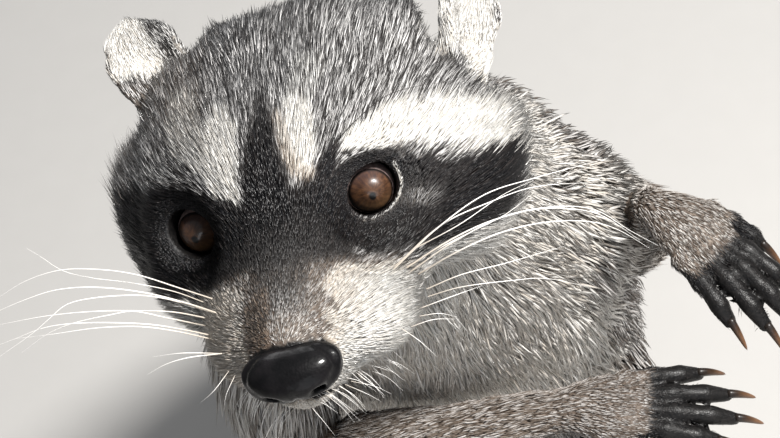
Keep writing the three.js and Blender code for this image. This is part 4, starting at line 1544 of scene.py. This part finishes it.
# ---------- whiskers: bristles along paths ----------
# each has its thickness at the root, and runs through points of the head's frame
WHITE_BRISTLES = [
    (0.42, (28.8, -25.5, -12.9), (43.6, -21, -5.7), (57, -14.6, -2.7), (70.3, -7.7, -4.7),
     (90, 4.8, -9.9)),
    (0.42, (29.3, -23.9, -12.8), (44.6, -19.7, -5.8), (57.8, -14.4, -5.3), (68.8, -8.3, -6.9),
     (84.8, 1.2, -14.2)),
    (0.34, (34.3, -13.4, -14), (47.4, -10.6, -11.5), (60.9, -2.1, -9.7), (68.9, 3.6, -10.5)),
    (0.5, (31.8, -22.1, -14.8), (45.7, -20.1, -10.5), (57.6, -16.8, -9.5), (72.6, -11.3, -12.4),
     (83.2, -6.7, -18.4), (91, -3.4, -28.7), (97.4, -0.4, -36.8)),
    (0.45, (32.5, -22.8, -15.9), (46.8, -22.9, -9.9), (60.9, -19.9, -7.7), (72.8, -15.7, -10.6),
     (84, -10.4, -18.1), (93, -5.5, -31.2)),
    (0.5, (34.4, -19.4, -18.6), (47.1, -19.5, -14.5), (59.6, -17.4, -13.2), (71.8, -14, -15.3),
     (82.5, -9.9, -20.5), (88.3, -7.5, -25.8), (95, -4.7, -34.7)),
    (0.36, (34.5, -14.7, -26), (44.4, -13.9, -24.6), (56.4, -9.6, -26.5), (72.8, 1.2, -31.1)),
    (0.3, (35, -19.1, -26), (43.7, -19.4, -25.3), (57.7, -16.6, -28.4), (65.9, -13.6, -31.6),
     (77, -8.9, -40.1)),
    (0.3, (33.2, -29, -23.7), (42.3, -27.6, -23.1), (50.1, -21.8, -25.1)),
    (0.34, (32.5, -20.3, -15.1), (46.5, -19.7, -11.1), (59.7, -12.2, -11.2), (68.4, -2.8, -11.2)),
    (0.26, (30.7, -34.8, -25.2), (37, -34.1, -25), (42, -31.3, -27.8)),
    (0.24, (32.6, -27.6, -26.6), (37.8, -27.5, -27.2), (41.8, -25.2, -30.7)),
    (0.24, (28.9, -39.1, -22.3), (33.1, -41.3, -26.3), (36, -40.8, -32.2)),
    (0.4, (-19.7, -24.8, -8.8), (-26.5, -26.8, -2.5), (-35.8, -26.9, 4.1), (-45.2, -26.2, 7.9),
     (-56.1, -24.7, 9.8), (-66.9, -23.4, 8.5), (-75.5, -22.7, 5.6)),
    (0.3, (-23.8, -20.2, -11.4), (-29.4, -23.1, -4.9), (-39.4, -24.9, 1.6), (-48.4, -24.7, 5.3),
     (-56.2, -22.6, 8.5), (-62.5, -18.7, 13), (-65.6, -16.8, 14.9)),
    (0.5, (-18.4, -30.4, -10.3), (-23.3, -32.5, -5.2), (-33.2, -33.4, 1.5), (-46.1, -33.2, 6.6),
     (-56.5, -32.2, 7.9), (-65.5, -31.4, 6.9), (-75.4, -30.4, 4.9)),
    (0.42, (-19.1, -29.6, -10.6), (-28.5, -34.1, -1.1), (-34.7, -35.7, 2.5), (-45.6, -37.3, 5.5),
     (-52.9, -37.6, 5.6), (-58.8, -38.3, 3), (-64, -38.5, 0.4), (-75.3, -38, -4.2)),
    (0.42, (-23.1, -25, -13.9), (-29.8, -28.1, -8.4), (-37.5, -29.9, -4.9), (-47.9, -30.8, -1.7),
     (-61.5, -29.8, 0), (-76.6, -27.3, -0.3)),
    (0.42, (-22.9, -27.5, -15), (-31.2, -31.8, -7.6), (-38.6, -32.9, -3), (-45.1, -33.6, -2.1),
     (-54.6, -33.1, -2.2), (-62.6, -31.9, -3.9), (-72.9, -30.3, -8.5)),
    (0.46, (-21, -33.1, -15.1), (-26.5, -36.6, -9.7), (-33.7, -38.6, -5), (-49.8, -39.7, 0.4),
     (-60.6, -38.1, 0.9), (-70.7, -36.5, -1.1), (-75.1, -35.7, -2)),
    (0.4, (-20.7, -34.4, -15.6), (-28.2, -38.4, -8.6), (-35.5, -40, -4.4), (-46, -40.2, -1.8),
     (-60.5, -37.3, -1.8), (-70.9, -34.1, -2.2)),
    (0.36, (-17.1, -41.2, -16.8), (-25.2, -45.1, -13.6), (-31.3, -44.9, -14.1), (-37.3, -43.9, -16.3)),
    (0.26, (-17.5, -40.9, -16.9), (-26.4, -44, -12.5), (-35.1, -41.5, -12.9)),
    (0.2, (-16.8, -43.1, -21.2), (-21.1, -47.4, -23.5), (-25.8, -46.5, -26.5)),
    (0.2, (-15, -45, -21.7), (-17.9, -49.4, -24.6), (-20.1, -48.9, -29.4)),
]
DARK_BRISTLES = [
    (0.26, (18.7, -1.6, 18.5), (22.8, -5.1, 30.9), (26.8, -6.2, 38.3), (33, -6.8, 44.8)),
    (0.26, (20.5, -1.9, 17), (24.6, -4, 24.3), (34.8, -5.2, 33.4), (60.1, -3.2, 41.4)),
    (0.26, (21.6, -1.3, 17), (26.9, -3, 21.1), (39, -3, 26.7), (59.9, 0.4, 24.3)),
    (0.2, (-21.9, -1.3, 16.5), (-25, -4.8, 24), (-35.3, -3.3, 30.4)),
    (0.2, (-23.2, -2, 14.1), (-27.6, -5.9, 19.4), (-38.9, -4.4, 23.2)),
    (0.2, (24.1, -33.7, -12.1), (22, -38.7, -12.9), (18.2, -41.2, -15.3)),
]


BEARD_GIRTH = 0.17


def beard(count, seed):
    """Short pale bristles along the lips and under the chin."""
    draw = np.random.default_rng(seed)
    line = spine(LIP_LINE, 40)
    made = []
    for k in range(count):
        sign = 1 if k % 2 else -1
        x, y, z = line[int(draw.uniform(1, 30))]
        root = arr(LIP_MIDDLE + sign * (x + 0.6), y + draw.uniform(-1, 1), z + draw.uniform(-3.5, 3))
        way = unit(arr(sign * draw.uniform(0.35, 1.0), draw.uniform(-0.5, 0.2), draw.uniform(-1.0, -0.25)))
        length = draw.uniform(7, 13)
        middle = root + way * length * 0.5
        tip = middle + unit(way + arr(0, draw.uniform(-0.3, 0.5), -0.45)) * length * 0.5
        made.append((BEARD_GIRTH, tuple(root - way * 1.5), tuple(middle), tuple(tip)))
    return made


# the nodes that sweep a round, tapering section along every path, and what is set on their sockets
SWEEP_NODES = {
    "given": ("NodeGroupInput", {}),
    "result": ("NodeGroupOutput", {}),
    "curve": ("GeometryNodeMeshToCurve", {}),
    "section": ("GeometryNodeCurvePrimitiveCircle", {"Radius": 1.0}),
    "sweep": ("GeometryNodeCurveToMesh", {"Fill Caps": True}),
    "along": ("GeometryNodeSplineParameter", {}),
    "thick": ("GeometryNodeInputNamedAttribute", {"Name": "thick"}),
    "keep": ("GeometryNodeStoreNamedAttribute", {"Name": "reach"}),
    "shade": ("GeometryNodeSetShadeSmooth", {}),
    "realize": ("GeometryNodeRealizeInstances", {}),
    "paint": ("GeometryNodeSetMaterial", {}),
    "power": ("ShaderNodeMath", {1: 1.3}),
    "fade": ("ShaderNodeMapRange", {"To Min": 1.0}),
    "girth": ("ShaderNodeMath", {}),
}
SWEEP_LINKS = [
    ("given", "Paths", "curve", "Mesh"),
    ("along", "Factor", "power", 0),
    ("power", 0, "fade", "Value"),
    ("given", "Tip", "fade", "To Max"),
    ("fade", "Result", "girth", 0),
    ("thick", "Attribute", "girth", 1),
    ("curve", "Curve", "keep", "Geometry"),
    ("along", "Factor", "keep", "Value"),
    ("keep", "Geometry", "sweep", "Curve"),
    ("given", "Sides", "section", "Resolution"),
    ("section", "Curve", "sweep", "Profile Curve"),
    ("girth", 0, "sweep", "Scale"),
    ("sweep", "Mesh", "shade", "Geometry"),
    ("shade", "Geometry", "realize", "Geometry"),
    ("realize", "Geometry", "paint", "Geometry"),
    ("given", "Finish", "paint", "Material"),
    ("paint", "Geometry", "result", "Bristles"),
]
SWEEP_INPUTS = {"Paths": "Geometry", "Sides": "Int", "Tip": "Float", "Finish": "Material"}


def bristle_tree():
    """Sweeps the section along every path of a mesh of edges."""
    tree = bpy.data.node_groups.new("bristles", "GeometryNodeTree")
    for name, kind in SWEEP_INPUTS.items():
        tree.interface.new_socket(name, in_out="INPUT", socket_type="NodeSocket" + kind)
    tree.interface.new_socket("Bristles", in_out="OUTPUT", socket_type="NodeSocketGeometry")
    nodes = {}
    for name, (kind, values) in SWEEP_NODES.items():
        nodes[name] = tree.nodes.new(kind)
        for socket, value in values.items():
            nodes[name].inputs[socket].default_value = value
    nodes["thick"].data_type = "FLOAT"
    nodes["keep"].data_type, nodes["keep"].domain = "FLOAT", "POINT"
    nodes["power"].operation, nodes["girth"].operation = "POWER", "MULTIPLY"
    for start, out, end, into in SWEEP_LINKS:
        tree.links.new(nodes[start].outputs[out], nodes[end].inputs[into])
    return tree


BRISTLE = {"steps": 30, "sides": 7, "tip": 0.12}


def build_bristles(name, paths, tree, finish):
    """Bristles in the head's frame, each a smooth curve through its points."""
    steps = BRISTLE["steps"]
    points, edges, thick = [], [], []
    for girth, *stations in paths:
        start = len(points)
        points += [tuple(p * MM) for p in HEAD_PLACE.part(spine(stations, steps))]
        edges += [(start + k, start + k + 1) for k in range(steps)]
        thick += [girth / 2 * MM] * (steps + 1)
    mesh = bpy.data.meshes.new(name + "_paths")
    mesh.from_pydata(points, edges, [])
    write_attributes(mesh, thick=thick)
    guide = placed(name + "_paths", mesh)
    modifier = guide.modifiers.new("bristles", "NODES")
    modifier.node_group = tree
    inputs = {item.name: item.identifier for item in tree.interface.items_tree if item.in_out == "INPUT"}
    modifier[inputs["Sides"]] = BRISTLE["sides"]
    modifier[inputs["Tip"]] = BRISTLE["tip"]
    modifier[inputs["Finish"]] = finish
    bpy.context.view_layer.update()
    made = bpy.data.meshes.new_from_object(guide.evaluated_get(bpy.context.evaluated_depsgraph_get()))
    bpy.data.objects.remove(guide)
    made.name = name
    return placed(name, made)


# ---------- camera, floor and light ----------
CAMERA = {"at": (0.1932, -0.4289, 0.7274), "turn": (39.5889, 12.27861, 12.7797), "lens": 76.15, "near": 0.02}
SENSOR = 36
# each light's place, the point it is aimed at, its size, its power and its colour
LIGHTS = {
    "key": ((0.72, -0.12, 1.4), (0.03, -0.15, 0.36), 0.25, 60, (1, 0.98, 0.95)),
    "fill": ((0.55, -1.15, 0.4), (0.04, -0.1, 0.26), 1.1, 5, (0.93, 0.96, 1)),
    "rim": ((-0.5, 0.9, 0.9), (0.0, 0.0, 0.3), 0.8, 6, (1, 1, 1)),
}
SKY = ((0.80, 0.84, 0.90, 1), 0.24)
FLOOR_HALF = 4
EXPOSURE = -0.5


def build_camera():
    camera = bpy.data.cameras.new("camera")
    camera.lens, camera.sensor_width = CAMERA["lens"], SENSOR
    camera.clip_start = CAMERA["near"]
    made = placed("camera", camera)
    turn = Euler([math.radians(angle) for angle in CAMERA["turn"]])
    made.matrix_world = Matrix.Translation(CAMERA["at"]) @ turn.to_matrix().to_4x4()
    bpy.context.scene.camera = made


def build_light(name, place, aim, size, power, colour):
    light = bpy.data.lights.new(name, "AREA")
    light.shape, light.size, light.energy, light.color = "DISK", size, power, colour
    made = placed(name, light)
    made.location = place
    made.rotation_euler = (Vector(aim) - Vector(place)).to_track_quat("-Z", "Y").to_euler()


def build_studio():
    scene = bpy.context.scene
    world = bpy.data.worlds.new("studio")
    world.use_nodes = True
    sky = world.node_tree.nodes["Background"].inputs
    sky["Color"].default_value, sky["Strength"].default_value = SKY
    scene.world = world
    for name, light in LIGHTS.items():
        build_light(name, *light)
    floor = Finish("studio_floor")
    paper = floor.noise(floor.place(), 60, 3, 0.5)
    colour = floor.mix(paper, (0.47, 0.46, 0.445), (0.49, 0.48, 0.465))
    material = floor.feed(Base_Color=colour, Roughness=0.7 + paper * 0.2)
    bm = bmesh.new()
    bmesh.ops.create_grid(bm, x_segments=1, y_segments=1, size=FLOOR_HALF)
    ground = bm_object("studio_ground", bm)
    ground.data.materials.append(material)
    scene.view_settings.view_transform = "Standard"
    scene.view_settings.look = "None"
    scene.view_settings.exposure = EXPOSURE


# ---------- the whole animal ----------
def adopt(piece, slot, finish=None, *nodes):
    if finish:
        piece.data.materials.clear()
        piece.data.materials.append(finish)
    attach(piece, "root")
    if nodes:
        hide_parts(*nodes)
    return piece


# each piece of the coat: the number of its locks, the rings in a lock, the seed of its random numbers,
# and how far the tips of a clump are drawn together
COAT = {
    "head": (116000, 1, 11, 0.32),
    "belly": (8000, 2, 31, 0.35),
    "chest": (16000, 2, 36, 0.35),
    "back": (14000, 2, 41, 0.35),
    "tail": (7000, 2, 51, 0.3),
    "arms": (26000, 1, 61, 0.32),
    "legs": (9500, 2, 71, 0.32),
}
HEAD_COATS = ("coat_right_cheek", "coat_right_crown", "coat_left_crown", "coat_left_cheek")
LIMB_COATS = {"arms": ("upper_arm", "forearm", "hand"), "legs": ("thigh", "shank", "foot")}


def build_head_coat(hide, owner, hair):
    """Four pieces, cut by planes through the head's length."""
    count, rings, seed, clump = COAT["head"]
    locks, _ = grow(hide, owner == "head", count, seed, clump)
    x, y, z = (HEAD_PLACE.local(locks["root"]) - arr(1, 20, -4)).T
    turn = np.arctan2(x, z)
    polar = np.arctan2(np.hypot(x, z), -y)
    for name, part in zip(HEAD_COATS, np.array_split(np.argsort(turn), len(HEAD_COATS))):
        own = {k: v[part] for k, v in locks.items()}
        adopt(coat_piece(name, own, rings, (turn[part], polar[part])), "coat", hair)


def build_trunk_coat(hide, owner, hair):
    along, out = hide.around["trunk"]
    front = out @ unit(arr(0.12, -1, 0))
    on_trunk = owner == "trunk"
    for name, slot, where in (
        ("belly", "coat_pale", on_trunk & (front >= 0.1) & (along < 0.5)),
        ("chest", "coat_pale", on_trunk & (front >= 0.1) & (along >= 0.5)),
        ("back", "coat", on_trunk & (front < 0.1)),
    ):
        count, rings, seed, clump = COAT[name]
        locks, at = grow(hide, where, count, seed, clump)
        turn = np.arctan2(at(out[:, 0]), at(out[:, 1]) * (1 if name == "back" else -1))
        adopt(coat_piece("coat_" + name, locks, rings, (turn, at(along))), slot, hair)


def build_tail_coat(hide, owner, hair):
    along, out = hide.around["tail"]
    count, rings, seed, clump = COAT["tail"]
    locks, at = grow(hide, owner == "tail", count, seed, clump)
    turn = np.arctan2(at(out[:, 1]), at(out[:, 2]))
    adopt(coat_piece("coat_tail", locks, rings, (turn, at(along))), "coat_dark", hair)


def build_limb_coats(hide, owner, hair):
    """The arms' piece and the legs' piece, unwrapped with each part in a band of its own."""
    for name, kinds in LIMB_COATS.items():
        count, rings, seed, clump = COAT[name]
        chosen = [f"{side}_{kind}" for side in SIDES for kind in kinds]
        locks, at = grow(hide, np.isin(owner, chosen), count, seed, clump)
        band, turn = np.zeros((2, len(locks["root"])))
        own = np.argmax([at(hide.weight[n]) for n in chosen], axis=0)
        for k, part in enumerate(chosen):
            mine = own == k
            if not mine.any():
                continue
            form = PARTS[part][0]
            limb = getattr(form, "palm", form)
            share, out = outward_from(limb, locks["root"][mine])
            if form.place:
                axes = [form.place.axes[:, 0], form.place.axes[:, 2]]
            else:
                axes = [limb.across.mean(0), limb.deep.mean(0)]
            across, deep = (out @ np.stack(axes, 1)).T
            band[mine], turn[mine] = k + np.clip(share, 0, 0.999), np.arctan2(across, deep)
        adopt(coat_piece("coat_" + name, locks, rings, (turn, band)), "coat", hair)


def build_coat(hide, hair):
    owner = np.array(NAMES)[np.argmax([hide.weight[n] for n in NAMES], axis=0)]
    for build in (build_head_coat, build_trunk_coat, build_tail_coat, build_limb_coats):
        build(hide, owner, hair)


BRISTLE_TONES = {
    "whiskers": ((0.45, 0.40, 0.34), (0.88, 0.86, 0.83)),
    "dark_whiskers": ((0.012, 0.011, 0.011), (0.03, 0.026, 0.024)),
}


def build_raccoon():
    points, faces = build_skin()
    hide = Hide(points, faces)
    skin = mesh_object("skin", points, faces)
    write_attributes(skin.data, pale=hide.marks[0], black=hide.marks[1], warm=hide.marks[2], bare=hide.bare)
    flesh = ["head", "left_ear", "right_ear", "rump", "belly", "chest", "neck"]
    flesh += [f"tail_{k}" for k in range(1, 5)]
    flesh += [f"{side}_{kind}" for side in SIDES for kinds in LIMB_COATS.values() for kind in kinds]
    adopt(skin, "paw", skin_finish(), *flesh)
    build_coat(hide, coat_finish())
    eye = eye_finish()
    claw = claw_finish()
    for side, sign in SIDES.items():
        adopt(build_eye(side, sign), "eye", eye, f"{side}_eye")
        for kind in ("hand", "foot"):
            nodes = [f"{side}_{kind}_claw_{i}" for i in range(1, 6)]
            adopt(build_claws(side, kind), "claw", claw, *nodes)
    adopt(build_nose(), "nose", nose_finish(), "nose")
    tree = bristle_tree()
    for name, paths in (("whiskers", WHITE_BRISTLES + beard(64, 17)), ("dark_whiskers", DARK_BRISTLES)):
        horn = whisker_finish(name + "_horn", *BRISTLE_TONES[name])
        adopt(build_bristles(name, paths, tree, horn), "whisker")


build_camera()
build_studio()
build_raccoon()
